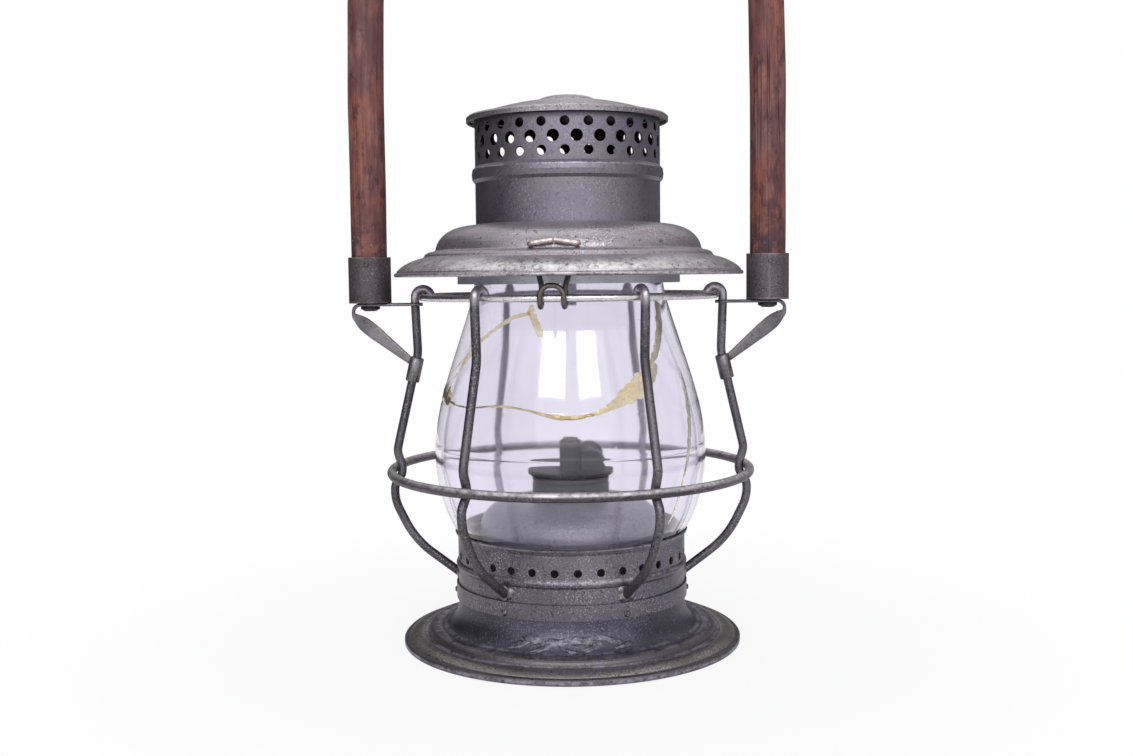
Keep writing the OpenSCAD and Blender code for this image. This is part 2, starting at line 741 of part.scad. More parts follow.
module ferrule() {
    color(STEEL) difference() {
        translate([bail_foot_x, 0, ear_top_z]) cylinder(d = ferrule_d, h = ferrule_h);
        translate([bail_foot_x, 0, ear_top_z + ferrule_floor]) cylinder(d = ferrule_bore_d, h = ferrule_h);
        bail_shank(fit_gap);
        tack(fit_gap);
    }
}

module both_sides() {
    children();
    mirror([1, 0, 0]) children();
}

module bail_rivets() {
    color(WORN_STEEL) both_sides() bail_rivet();
}

module ferrule_tacks() {
    color(WORN_STEEL) both_sides() tack(0);
}

module bail() {
    color(WOOD) difference() {
        bent_rod(
            [[-bail_foot_x, 0, bail_foot_z], [-bail_foot_x, 0, bail_knee_z], [-bail_arch_x, 0, bail_top_z],
                [bail_arch_x, 0, bail_top_z], [bail_foot_x, 0, bail_knee_z], [bail_foot_x, 0, bail_foot_z]],
            [bail_knee_r, bail_bend_r, bail_bend_r, bail_knee_r], bail_d
        );
        both_sides() bail_shank(fit_gap);
        both_sides() tack(fit_gap);
    }
}

module hood_dome() {
    color(WORN_STEEL) difference() {
        union() {
            spun(HOOD_PATH);
            wire_ring(brim_r - brim_roll_d / 2, brim_roll_d, brim_z);
        }
        rotate([0, 0, -hinge_turn]) for (s = [-1, 1])
            translate([s * hinge_hole_span / 2, -dome_r - 3, clinch_z]) rotate([-90, 0, 0])
                cylinder(d = hinge_d + 2 * fit_gap, h = 10 * sheet_t, $fn = 24);
    }
}

module hood_skirt() {
    color(BRIGHT)
        ring(skirt_r, skirt_r - sheet_t, skirt_z, retainer_z - sheet_t - skirt_z);
}

module retainer_plate() {
    color(STEEL)
        ring(dome_r - sheet_t - retainer_gap, globe_neck_r + 0.8, retainer_z - sheet_t, sheet_t);
}

module chimney_sleeve() {
    out = chimney_r + chimney_bead_out;
    half = chimney_bead_h / 2;
    color(STEEL) spun([
        [chimney_r, dome_top_z],
        [chimney_r, chimney_bead_z - half],
        [out - 0.3, chimney_bead_z - half + 1.4],
        [out, chimney_bead_z],
        [out - 0.3, chimney_bead_z + half - 1.4],
        [chimney_r, chimney_bead_z + half],
        [chimney_r, vent_joint_z]
    ]);
}

module vent_band() {
    pitch = 360 / vent_count;
    color(STEEL) difference() {
        ring(chimney_r, chimney_r - sheet_t, vent_joint_z, vent_top_z - vent_joint_z);
        for (s = [-1, 1])
            hole_row(vent_count, vent_small_d, chimney_r, vent_row_z + s * vent_row_step, FRONT - vent_turn);
        hole_row(vent_count, vent_large_d, chimney_r, vent_row_z, FRONT - vent_turn + pitch / 2);
    }
}

module vent_cap() {
    color(WORN_STEEL) spun(CAP_PATH);
}

module hinge_wire() {
    color(BRIGHT) rotate([0, 0, -hinge_turn]) bent_rod(HINGE_PATH, HINGE_BENDS, hinge_d);
}

module latch_foot() {
    color(BRIGHT) {
        translate([-latch_w / 2, skirt_r + fit_gap, latch_arm_z + run_gap]) cube([latch_w, latch_t, 9]);
        translate([0, skirt_r + fit_gap + latch_t, latch_arm_z + run_gap + 5]) rotate([-90, 0, 0])
            cylinder(d1 = 3.4, d2 = 2, h = 0.9, $fn = 24);
    }
}

module latch_leaf() {
    nose_z = top_ring_z - 2.4;
    color(BRIGHT) rotate([90, 0, 90]) linear_extrude(latch_w, center = true) polygon(sheet([
        [latch_y - 0.4, latch_tip_z],
        [latch_y, nose_z - 2.4],
        [nose_y, nose_z],
        [latch_y, nose_z + 2.4],
        [latch_y, latch_arm_z - 1],
        [latch_y - 1, latch_arm_z],
        [skirt_r + run_gap + 0.2, latch_arm_z]
    ], latch_t));
}

module fount() {
    color(STEEL) {
        spun(concat(
            [[0, fount_z], [fount_r - 2, fount_z], [fount_r, fount_z + 2]],
            curve([fount_r, fount_shoulder_z], [fount_r, fount_top_z - 6],
                [fount_r - 7, fount_top_z - 1.4], [cup_r + 1, fount_top_z], 12),
            [[fount_mouth_r, fount_top_z]]
        ));
        around(lug_count, -lug_angle / 2) translate([0, 0, lug_z])
            sector(fount_r - sheet_t / 2, lug_r, 1.4, lug_angle);
    }
}

module fount_collar() {
    color(WORN_STEEL) ring(fount_mouth_r + mouth_collar_t, fount_mouth_r, fount_top_z, mouth_collar_h);
}

module burner_cup() {
    rim = cup_r + cup_flange;
    color(SOOT) difference() {
        spun([
            [cup_r, fount_top_z + fit_gap],
            [cup_r, cup_bead_z - cup_bead_h],
            [cup_r - cup_bead_in, cup_bead_z],
            [cup_r, cup_bead_z + cup_bead_h],
            [cup_r, cup_top_z - 3],
            [rim, cup_top_z - 1.8],
            [rim, cup_top_z],
            [tube_t / 4, cup_top_z]
        ]);
        translate([0, 0, cup_top_z - 2]) linear_extrude(4) {
            obround(tube_t + 2 * fit_gap, tube_w + 2 * fit_gap);
            translate([0, -slot_half]) square([shaft_x + spur_r + run_gap, 2 * slot_half]);
        }
    }
}

module wick_tube() {
    low_z = fount_top_z + 3;
    color(SOOT) difference() {
        translate([0, 0, low_z]) linear_extrude(tube_top_z - low_z) obround(tube_t, tube_w);
        translate([0, 0, low_z - 1]) linear_extrude(tube_top_z - low_z + 2)
            obround(tube_t - 2 * tube_wall, tube_w - 2 * tube_wall);
        for (s = [-1, 1])
            translate([tube_t / 4, s * spur_y - spur_t, shaft_z - spur_r]) cube([tube_t, 2 * spur_t, 2 * spur_r]);
    }
}

module wheel_box() {
    color(SOOT) translate([shaft_x, 0, shaft_z]) rotate([90, 0, 0]) difference() {
        intersection() {
            cylinder(r = box_r, h = 2 * box_half, center = true);
            translate([tube_t / 2 + fit_gap - shaft_x, cup_top_z + fit_gap - shaft_z, -box_half])
                cube([3 * box_r, 3 * box_r, 2 * box_half]);
        }
        cylinder(r = box_r - 0.7, h = 2 * (box_half - 1), center = true);
        cylinder(d = shaft_d + shaft_fit, h = 4 * box_half, center = true, $fn = 48);
    }
}

// Puts a shape drawn on the XY plane on the wick shaft, rising along +Y from the given place
module on_shaft(y) {
    translate([shaft_x, y, shaft_z]) rotate([-90, 0, 0]) children();
}

// Toothed disc with a bore for the shaft
module toothed(r, depth, teeth, t) {
    difference() {
        linear_extrude(t) polygon([
            for (i = [0 : 2 * teeth - 1])
                (r - (i % 2) * depth) * [cos(180 * i / teeth), sin(180 * i / teeth)]
        ]);
        translate([0, 0, -1]) cylinder(d = shaft_d + shaft_fit, h = t + 2, $fn = 48);
    }
}

module wick_shaft() {
    color(WORN_STEEL) on_shaft(-box_half - 0.8) cylinder(d = shaft_d, h = thumb_reach + box_half + 1.4, $fn = 48);
}

module spur_wheels() {
    color(WORN_STEEL) for (s = [-1, 1]) on_shaft(s * spur_y - spur_t / 2) toothed(spur_r, 1.4, spur_teeth, spur_t);
}

module thumb_wheel() {
    color(WORN_STEEL) on_shaft(thumb_reach - thumb_t) toothed(thumb_d / 2, 0.6, 24, thumb_t);
}

module wick() {
    color(COTTON) translate([0, 0, tube_top_z + wick_up - wick_l])
        linear_extrude(wick_l) obround(wick_t, tube_w - tube_t + wick_t);
}

base_bell();
fount_ring();
joint_band();
band_rivets();
globe_collar();
globe_seat();
globe();
top_ring();
guard_ring();
for (i = [1 : WIRES]) guard_wire(i);
mirror([1, 0, 0]) ear();  // ear_left
ear();  // ear_right
mirror([1, 0, 0]) ferrule();  // ferrule_left
ferrule();  // ferrule_right
bail_rivets();
ferrule_tacks();
bail();
hood_dome();
hood_skirt();
retainer_plate();
chimney_sleeve();
vent_band();
vent_cap();
hinge_wire();
latch_foot();
latch_leaf();
fount();
fount_collar();
burner_cup();
wick_tube();
wheel_box();
wick_shaft();
spur_wheels();
thumb_wheel();
wick();
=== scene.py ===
import math

import bpy
from mathutils import Euler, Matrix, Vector, noise


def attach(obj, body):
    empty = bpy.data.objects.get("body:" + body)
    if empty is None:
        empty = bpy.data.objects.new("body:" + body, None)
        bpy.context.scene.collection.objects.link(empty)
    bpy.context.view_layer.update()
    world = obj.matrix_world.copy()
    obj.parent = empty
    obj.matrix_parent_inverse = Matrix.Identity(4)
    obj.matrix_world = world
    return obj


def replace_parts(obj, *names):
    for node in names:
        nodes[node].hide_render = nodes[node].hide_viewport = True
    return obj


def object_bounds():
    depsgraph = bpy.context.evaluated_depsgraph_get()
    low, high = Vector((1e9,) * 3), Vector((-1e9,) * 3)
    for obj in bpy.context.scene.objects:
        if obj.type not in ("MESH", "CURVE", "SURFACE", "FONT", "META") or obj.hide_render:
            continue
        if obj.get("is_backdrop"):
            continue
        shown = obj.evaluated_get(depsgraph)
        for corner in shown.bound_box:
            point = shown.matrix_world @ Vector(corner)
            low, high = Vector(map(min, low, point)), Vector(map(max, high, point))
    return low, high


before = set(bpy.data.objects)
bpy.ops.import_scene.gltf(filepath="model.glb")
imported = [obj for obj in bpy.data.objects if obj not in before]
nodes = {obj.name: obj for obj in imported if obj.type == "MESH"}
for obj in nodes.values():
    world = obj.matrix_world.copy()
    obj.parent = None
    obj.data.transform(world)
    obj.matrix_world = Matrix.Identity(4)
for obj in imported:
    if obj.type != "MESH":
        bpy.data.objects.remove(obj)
cad_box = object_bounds()
MM = 0.001


# Node materials

MIX_A, MIX_B, MIX_RESULT = 6, 7, 2  # colour sockets of a Mix node
SEEN_RAYS = ("Is Camera Ray", "Is Glossy Ray", "Is Transmission Ray")


class Mat:
    """One node material, with short calls for the nodes that it is made of."""

    def __init__(self, name):
        self.material = bpy.data.materials.new(name)
        self.material.use_nodes = True
        self.tree = self.material.node_tree
        self.tree.nodes.clear()
        self.shader = self.add("ShaderNodeBsdfPrincipled")
        self.output = self.add("ShaderNodeOutputMaterial")
        self.tree.links.new(self.shader.outputs[0], self.output.inputs["Surface"])
        self.coords = self.add("ShaderNodeTexCoord")
        self.place = self.coords.outputs["Object"]
        self.height = None

    def add(self, kind):
        return self.tree.nodes.new(kind)

    def put(self, value, socket):
        if isinstance(value, bpy.types.NodeSocket):
            self.tree.links.new(value, socket)
        elif isinstance(value, (tuple, list)) and len(value) == 3 and socket.type == "RGBA":
            socket.default_value = (*value, 1)
        else:
            socket.default_value = value

    def set(self, **values):
        for name, value in values.items():
            self.put(value, self.shader.inputs[name.replace("_", " ")])

    def math(self, op, a, b=0.0):
        n = self.add("ShaderNodeMath")
        n.operation = op
        self.put(a, n.inputs[0])
        self.put(b, n.inputs[1])
        return n.outputs[0]

    def axis(self, name, place=None):
        n = self.add("ShaderNodeSeparateXYZ")
        self.put(place or self.place, n.inputs[0])
        return n.outputs[name]

    def stretched(self, by, place=None):
        n = self.add("ShaderNodeMapping")
        self.put(place or self.place, n.inputs["Vector"])
        n.inputs["Scale"].default_value = by
        return n.outputs[0]

    def noise(self, scale, detail=3.0, rough=0.55, place=None, shift=0.0):
        n = self.add("ShaderNodeTexNoise")
        n.noise_dimensions = "4D"
        self.put(place or self.place, n.inputs["Vector"])
        for key, value in (("Scale", scale), ("Detail", detail), ("Roughness", rough), ("W", shift)):
            n.inputs[key].default_value = value
        return n.outputs["Fac"]

    def cells(self, scale):
        n = self.add("ShaderNodeTexVoronoi")
        self.put(self.place, n.inputs["Vector"])
        n.inputs["Scale"].default_value = scale
        return n.outputs["Distance"]

    def step(self, value, low, high):
        """0 below low and 1 above high, smooth between them; low may be the larger."""
        n = self.add("ShaderNodeMapRange")
        n.interpolation_type = "SMOOTHSTEP"
        self.put(value, n.inputs["Value"])
        n.inputs["From Min"].default_value = min(low, high)
        n.inputs["From Max"].default_value = max(low, high)
        n.inputs["To Min"].default_value = 0.0 if low < high else 1.0
        n.inputs["To Max"].default_value = 1.0 if low < high else 0.0
        return n.outputs[0]

    def near(self, value, at, width):
        """1 where value is close to at, falling to 0 at width from it."""
        return self.step(self.math("ABSOLUTE", self.math("SUBTRACT", value, at)), width, 0.0)

    def times(self, *values):
        out = values[0]
        for v in values[1:]:
            out = self.math("MULTIPLY", out, v)
        return out

    def most(self, *values):
        out = values[0]
        for v in values[1:]:
            out = self.math("MAXIMUM", out, v)
        return out

    def blend(self, amount, a, b):
        n = self.add("ShaderNodeMix")
        n.data_type = "RGBA"
        self.put(amount, n.inputs["Factor"])
        self.put(a, n.inputs[MIX_A])
        self.put(b, n.inputs[MIX_B])
        return n.outputs[MIX_RESULT]

    def between(self, value, low, high):
        """Maps 0..1 to low..high."""
        return self.math("ADD", self.math("MULTIPLY", value, high - low), low)

    def bump(self, height, distance, strength=1.0):
        n = self.add("ShaderNodeBump")
        self.put(height, n.inputs["Height"])
        n.inputs["Distance"].default_value = distance
        n.inputs["Strength"].default_value = strength
        if self.height is not None:
            self.tree.links.new(self.height, n.inputs["Normal"])
        self.height = n.outputs[0]
        self.tree.links.new(self.height, self.shader.inputs["Normal"])

    def radius(self):
        x, y = self.axis("X"), self.axis("Y")
        return self.math("SQRT", self.math("ADD", self.times(x, x), self.times(y, y)))


SOOT = (0.008, 0.0075, 0.008)


def steel(name, dark, light, grain, wear_and_highlight_bands=(), mottle=0.5, rough=(0.34, 0.6), metal=0.85, rust=0.5, shift=0.0,
          stain=None, ring=None, sooty=None, highlight_heights=None, seam=None, under=False):
    """Old tinned steel: cloudy patina, fine speckle, lighter bands at given heights for rubbed edges and painted
    highlights, pits and rust.

    stain is a colour for broad patches, ring a colour outside a radius, sooty a radius with soot inside it
    and highlight heights are two heights, from the first of which up to the second the metal is painted bright: a
    painted highlight;
    seam is the x of a lapped seam on the front; under paints the faces that look down soot black, soot with a
    painted shade.
    """
    m = Mat(name)
    cloud = m.noise(28, 5, 0.62, shift=shift)
    drift = m.noise(9, 2, 0.5, shift=shift + 3)
    fine = m.noise(1500, 2, 0.6, shift=shift)
    medium = m.noise(520, 3, 0.6, shift=shift + 1)
    tone = m.step(m.math("ADD", m.times(cloud, 0.6), m.times(drift, 0.4)), mottle - 0.14, mottle + 0.16)
    colour = m.blend(tone, dark, light)
    if stain:
        colour = m.blend(m.times(m.step(m.noise(17, 4, 0.65, shift=shift + 12), 0.45, 0.66), 0.75), colour, stain)
    if ring:
        edge = m.math("ADD", m.radius(), m.times(m.math("SUBTRACT", cloud, 0.5), 0.008))
        outside = m.step(edge, ring[1] * MM - 0.003, ring[1] * MM + 0.003)
        colour = m.blend(m.times(outside, m.between(tone, 0.55, 1.0)), colour, ring[0])
    patchy = m.step(m.noise(42, 4, 0.65, shift=shift + 14), 0.38, 0.62)
    speck = m.times(m.step(fine, 0.52, 0.68), m.between(patchy, 0.2, 1.0))
    colour = m.blend(m.times(speck, grain), colour, tuple(min(1.0, c * 2.1 + 0.04) for c in light))
    pepper = m.step(m.math("ADD", m.times(medium, 0.6), m.times(fine, 0.4)), 0.46, 0.37)
    colour = m.blend(m.times(pepper, 0.7 * grain + 0.2), colour, tuple(c * 0.4 for c in dark))
    z = m.axis("Z")
    rubs = m.noise(120, 3, 0.6, shift=shift + 5)
    broken = m.step(m.math("ADD", m.times(medium, 0.5), m.times(rubs, 0.5)), 0.42, 0.6)
    # Lighter bands at given heights: rubbed wear on edges, and on the brim and the collar's bead a painted
    # highlight.
    for at, width in wear_and_highlight_bands:
        band = m.times(m.near(z, at * MM, width * MM), broken, 0.6)
        colour = m.blend(band, colour, tuple(min(0.7, c * 2.4 + 0.05) for c in light))
    # Painted highlight: from the given heights up the metal is painted bright, standing in for the light on the
    # tops of hooks, rings and the hinge wire.
    if highlight_heights:
        highlight_mask = m.times(m.step(z, highlight_heights[0] * MM, highlight_heights[1] * MM), m.between(broken, 0.4, 1.0))
        colour = m.blend(highlight_mask, colour, tuple(min(0.85, c * 4 + 0.1) for c in light))
    if seam:
        wavy = m.math("ADD", m.axis("X"), m.times(m.math("SUBTRACT", m.noise(150, 2, shift=shift), 0.5), 0.002))
        lap = m.times(m.near(wavy, seam * MM, 0.0005), m.step(m.axis("Y"), 0.0, -0.003))
        colour = m.blend(m.times(lap, 0.8), colour, tuple(c * 2.2 + 0.03 for c in light))
        m.bump(m.step(wavy, seam * MM - 0.0002, seam * MM + 0.0002), 0.0004, 0.8)
    spots = m.times(m.step(m.noise(75, 4, 0.7, shift=shift + 7), 0.62, 0.74), rust)
    colour = m.blend(spots, colour, (0.075, 0.038, 0.026))
    if sooty:
        colour = m.blend(m.step(m.radius(), sooty * MM + 0.0002, sooty * MM - 0.0002), colour, SOOT)
    # Faces that look down are painted soot black: soot, and a painted shade under the cap.
    if under:
        down = m.step(m.axis("Z", m.coords.outputs["Normal"]), -0.2, -0.4)
        colour = m.blend(down, colour, SOOT)
    m.set(Base_Color=colour, Metallic=m.math("SUBTRACT", metal, m.times(spots, 0.6)))
    shine = m.math("ADD", m.times(m.noise(60, 3, 0.6, shift=shift + 9), 0.5), m.times(medium, 0.5))
    m.set(Roughness=m.math("ADD", m.between(shine, rough[0], rough[1]), m.times(spots, 0.2)))
    m.bump(m.math("ADD", m.times(fine, 0.5), medium), 0.00010, 0.55)
    m.bump(m.math("ADD", cloud, m.times(spots, 0.3)), 0.0006, 0.35)
    return m


RING_Z = 75.3
base_metal = steel("base_steel", (0.064, 0.06, 0.084), (0.155, 0.147, 0.195), 0.5,
                   [(1.1, 1.2), (4.2, 0.7), (7.2, 0.6)], mottle=0.52, ring=((0.14, 0.126, 0.127), 58.6), shift=1)
rim_metal = steel("rim_steel", (0.1, 0.09, 0.092), (0.25, 0.228, 0.227), 0.95, mottle=0.46, rough=(0.3, 0.5),
                  rust=0.7, shift=14)
# The band at 35.4 mm is a painted highlight on the top of the collar's bead.
collar_metal = steel("collar_steel", (0.092, 0.085, 0.1), (0.205, 0.189, 0.216), 0.75,
                     [(48.4, 0.6), (35.4, 0.9)], mottle=0.5, stain=(0.13, 0.125, 0.172), shift=2)
drum_metal = steel("chimney_steel", (0.14, 0.132, 0.176), (0.21, 0.198, 0.26), 0.4,
                   [(205.8, 0.6)], mottle=0.5, rust=0.3, stain=(0.19, 0.172, 0.19), sooty=39.8, shift=3)
# The bands from 161 to 166 mm are a painted highlight along the brim, laid over rubbed wear.
hood_metal = steel("hood_steel", (0.2, 0.184, 0.204), (0.32, 0.292, 0.322), 0.9,
                   [(161, 0.9), (163.6, 2.4), (165.4, 3.6)], mottle=0.46, rough=(0.28, 0.48), metal=0.7, shift=4)
cap_metal = steel("cap_steel", (0.19, 0.175, 0.194), (0.3, 0.274, 0.302), 0.9, [(229, 0.7), (235.4, 0.5)],
                  mottle=0.46, rough=(0.3, 0.5), metal=0.7, shift=4, under=True)
bright_metal = steel("bright_steel", (0.28, 0.27, 0.29), (0.56, 0.54, 0.58), 0.5, mottle=0.48,
                     rough=(0.2, 0.42), metal=0.95, shift=5)
# Painted light: the skirt is a much paler copy of the hood's steel, lifting the shade that the brim casts on it.
skirt_painted_light_metal = steel("skirt_steel_painted_light", (0.52, 0.52, 0.6), (0.76, 0.76, 0.84), 0.3, mottle=0.48,
                    rough=(0.3, 0.5), metal=0.6, rust=0.1, shift=15)
# The hinge wire is painted bright from 160 mm up, a painted highlight.
hinge_metal = steel("hinge_steel", (0.075, 0.062, 0.058), (0.17, 0.145, 0.138), 0.5, mottle=0.5,
                    rough=(0.26, 0.46), metal=0.9, rust=0.7, shift=16, highlight_heights=(160, 166))
ring_metal = steel("ring_steel", (0.34, 0.33, 0.35), (0.66, 0.64, 0.66), 0.5, mottle=0.46,
                   rough=(0.18, 0.36), metal=0.95, shift=10)
ear_metal = steel("ear_steel", (0.085, 0.08, 0.09), (0.22, 0.207, 0.225), 0.5, mottle=0.5,
                  rough=(0.34, 0.55), metal=0.92, shift=11)
# The hook tops are painted bright from 147 mm up, a painted highlight in the brim's shade.
wire_metal = steel("guard_steel", (0.065, 0.06, 0.07), (0.165, 0.15, 0.17), 0.8,
                   mottle=0.5, rust=0.35, shift=6, highlight_heights=(147, 153))
# Painted haze: the back uprights, seen through both walls of the globe, get a paler copy of the guard steel in
# place of the light that the glass lays over them.
back_wire_painted_haze_metal = steel("back_guard_steel_painted_haze", (0.2, 0.19, 0.215), (0.38, 0.36, 0.4), 0.6,
                   mottle=0.5, rust=0.3, metal=0.5, shift=13)
# The top of the guard ring is painted bright, a painted highlight.
guard_metal = steel("guard_ring_steel", (0.05, 0.046, 0.052), (0.135, 0.124, 0.135), 0.9,
                    mottle=0.48, rust=0.35, shift=12, highlight_heights=(RING_Z - 0.2, RING_Z + 1.2))
ferrule_metal = steel("ferrule_steel", (0.065, 0.052, 0.058), (0.14, 0.114, 0.124), 0.5,
                      [(168.7, 0.5), (149.5, 0.5)], mottle=0.5, rough=(0.45, 0.7), metal=0.6, rust=0.9,
                      shift=7, seam=86.6)
soot_metal = steel("sooted_metal", (0.015, 0.0145, 0.019), (0.052, 0.05, 0.062), 0.7, mottle=0.52,
                   rough=(0.4, 0.65), metal=0.6, rust=0.1, shift=8)
fount_metal = steel("fount_steel", (0.19, 0.186, 0.226), (0.35, 0.342, 0.4), 0.3, mottle=0.48,
                    rough=(0.24, 0.4), metal=0.3, rust=0.2, shift=9)


def wood():
    """Oiled bent wood: long grain, dark pores, rubbed lighter patches and darkened ends."""
    m = Mat("bail_wood")
    way = m.add("ShaderNodeAttribute")
    way.attribute_name = "grain"
    along = way.outputs["Vector"]
    fibres = m.noise(1000, 4, 0.65, m.stretched((1, 1, 0.05), along))
    long = m.noise(300, 4, 0.6, m.stretched((1, 1, 0.08), along), 1)
    hue = m.noise(62, 4, 0.65, m.stretched((1, 1, 0.45), along), 2)
    blots = m.noise(190, 5, 0.72, m.stretched((1, 1, 0.5), along), 3)
    rubs = m.noise(110, 4, 0.65, m.stretched((1, 1, 0.4), along), 4)
    streak = m.math("ADD", m.times(long, 0.45), m.times(fibres, 0.55))
    colour = m.blend(m.step(hue, 0.4, 0.6), (0.15, 0.06, 0.064), (0.31, 0.108, 0.076))
    colour = m.blend(m.times(m.step(rubs, 0.5, 0.66), 0.55), colour, (0.34, 0.175, 0.145))
    colour = m.blend(m.times(m.step(streak, 0.56, 0.4), 0.55), colour, (0.05, 0.02, 0.022))
    colour = m.blend(m.times(m.step(blots, 0.49, 0.37), 0.7), colour, (0.045, 0.021, 0.03))
    split = m.near(m.noise(170, 2, 0.5, m.stretched((1, 1, 0.012), along), 5), 0.5, 0.007)
    split = m.times(split, m.step(m.noise(40, 2, 0.5, m.stretched((1, 1, 0.5), along), 6), 0.45, 0.55))
    colour = m.blend(m.times(split, 0.9), colour, (0.01, 0.006, 0.007))
    foot = m.step(m.axis("Z"), 0.2, 0.168)
    stain = m.times(foot, m.step(m.noise(90, 4, 0.65, shift=7), 0.4, 0.54))
    colour = m.blend(m.times(stain, 0.85), colour, (0.035, 0.024, 0.036))
    flecks = m.times(foot, m.step(m.noise(700, 3, 0.6, shift=8), 0.63, 0.7))
    colour = m.blend(m.times(flecks, 0.7), colour, (0.4, 0.35, 0.36))
    m.set(Base_Color=colour, Roughness=m.between(streak, 0.4, 0.7), Specular_IOR_Level=0.35)
    m.bump(m.math("SUBTRACT", streak, m.times(split, 0.6)), 0.0005, 0.7)
    return m


def glass():
    """Old pressed glass with a lavender tint, faint ripples, seeds and a film of dust at the back."""
    m = Mat("clear_glass")
    film = m.times(m.step(m.axis("Y"), 0.012, 0.04), m.between(m.noise(50, 4, 0.6, shift=4), 0.03, 0.11))
    m.set(Base_Color=(0.935, 0.922, 0.982), Roughness=0.06, Specular_IOR_Level=0.36, IOR=1.47,
          Transmission_Weight=m.math("SUBTRACT", 1.0, film))
    ripple = m.noise(36, 2, 0.4, m.stretched((1, 1, 0.45)))
    m.bump(ripple, 0.0011, 0.25)
    seeds = m.step(m.cells(115), 0.05, 0.0)
    m.bump(seeds, 0.0002, 0.25)
    depth = m.add("ShaderNodeVolumeAbsorption")
    depth.inputs["Color"].default_value = (0.75, 0.70, 0.87, 1)
    depth.inputs["Density"].default_value = 40
    m.tree.links.new(depth.outputs[0], m.output.inputs["Volume"])
    return m


def glue(name, pale, deep, clear):
    """Aged amber cement along the mended breaks of the globe, streaked along its run."""
    m = Mat(name)
    thick = m.noise(230, 4, 0.65)
    hairs = m.noise(850, 3, 0.6, shift=3)
    colour = m.blend(m.step(thick, 0.36, 0.62), pale, deep)
    colour = m.blend(m.times(m.step(hairs, 0.53, 0.68), 0.6), colour, tuple(c * 0.5 for c in deep))
    m.set(Base_Color=colour, Roughness=m.between(thick, 0.12, 0.4), IOR=1.45, Transmission_Weight=clear)
    m.bump(m.math("ADD", thick, m.times(hairs, 0.3)), 0.0006, 0.6)
    return m


def cotton():
    """Flat woven wick, charred at its top."""
    m = Mat("wick_cotton")
    x, y, z = m.axis("X"), m.axis("Y"), m.axis("Z")
    warp = m.math("SINE", m.times(m.math("ADD", x, y), 5200))
    weft = m.math("SINE", m.times(z, 5200))
    weave = m.times(warp, weft)
    fuzz = m.noise(1600, 3, 0.6)
    colour = m.blend(m.step(weave, -0.9, 0.7), (0.34, 0.29, 0.2), (0.66, 0.6, 0.47))
    colour = m.blend(m.times(m.step(fuzz, 0.5, 0.7), 0.4), colour, (0.3, 0.25, 0.18))
    char = m.step(m.math("ADD", z, m.times(m.noise(420, 3, 0.6), 0.004)), 0.0868, 0.0896)
    colour = m.blend(char, colour, (0.012, 0.011, 0.01))
    m.set(Base_Color=colour, Roughness=m.between(fuzz, 0.8, 0.98), Sheen_Weight=0.2)
    m.bump(weave, 0.00025, 0.8)
    return m


def solder(name, light):
    """Lead-grey solder, dull with bright high spots."""
    m = Mat(name)
    lump = m.noise(330, 4, 0.62)
    fine = m.noise(1300, 2, 0.6, shift=2)
    colour = m.blend(m.step(lump, 0.4, 0.66), tuple(c * 0.4 for c in light), light)
    colour = m.blend(m.times(m.step(fine, 0.5, 0.7), 0.4), colour, tuple(c * 1.6 for c in light))
    m.set(Base_Color=colour, Metallic=0.85, Roughness=m.between(fine, 0.3, 0.6))
    m.bump(lump, 0.0009, 0.7)
    return m


def paint(material, *names):
    for name in names:
        data = nodes[name].data
        data.materials.clear()
        data.materials.append(material.material)


WIRES = [f"guard_wire_{i}" for i in range(1, 7)]
BACK_WIRES = WIRES[1:3]
paint(base_metal, "base_bell", "fount_ring")
paint(collar_metal, "globe_collar", "joint_band", "globe_seat")
paint(drum_metal, "chimney_sleeve", "vent_band")
paint(hood_metal, "hood_dome", "retainer_plate")
paint(cap_metal, "vent_cap")
paint(bright_metal, "latch_foot", "latch_leaf")
# The skirt takes the paler steel: painted light under the brim.
paint(skirt_painted_light_metal, "hood_skirt")
paint(hinge_metal, "hinge_wire")
paint(ring_metal, "top_ring")
paint(ear_metal, "band_rivets")
paint(wire_metal, *(w for w in WIRES if w not in BACK_WIRES))
# The back uprights take the paler steel: painted haze from the glass.
paint(back_wire_painted_haze_metal, *BACK_WIRES)
paint(guard_metal, "guard_ring")
paint(ferrule_metal, "ferrule_left", "ferrule_right", "ferrule_tacks")
paint(soot_metal, "bail_rivets", "burner_cup", "wick_tube", "wheel_box", "wick_shaft", "spur_wheels",
      "thumb_wheel")
paint(fount_metal, "fount", "fount_collar")


# Pieces made here

LATHE_SIDES = 144


def piece(name, verts, faces, material, body):
    mesh = bpy.data.meshes.new(name)
    mesh.from_pydata(verts, [], faces)
    mesh.validate()
    mesh.materials.append(material.material)
    mesh.shade_smooth()
    obj = bpy.data.objects.new(name, mesh)
    bpy.context.scene.collection.objects.link(obj)
    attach(obj, body)
    return obj


def ring_faces(a, b, count, flip=False):
    """Quads between two closed rings of count points, whose first points are a and b."""
    out = []
    for k in range(count):
        j = (k + 1) % count
        out.append((a + k, b + k, b + j, a + j) if flip else (a + k, a + j, b + j, b + k))
    return out


def cubic(a, b, c, d, count):
    """Points in a plane along a Bezier curve."""
    out = []
    for i in range(count + 1):
        t = i / count
        s = 1 - t
        out.append(tuple(s**3 * a[k] + 3 * s * s * t * b[k] + 3 * s * t * t * c[k] + t**3 * d[k] for k in (0, 1)))
    return out


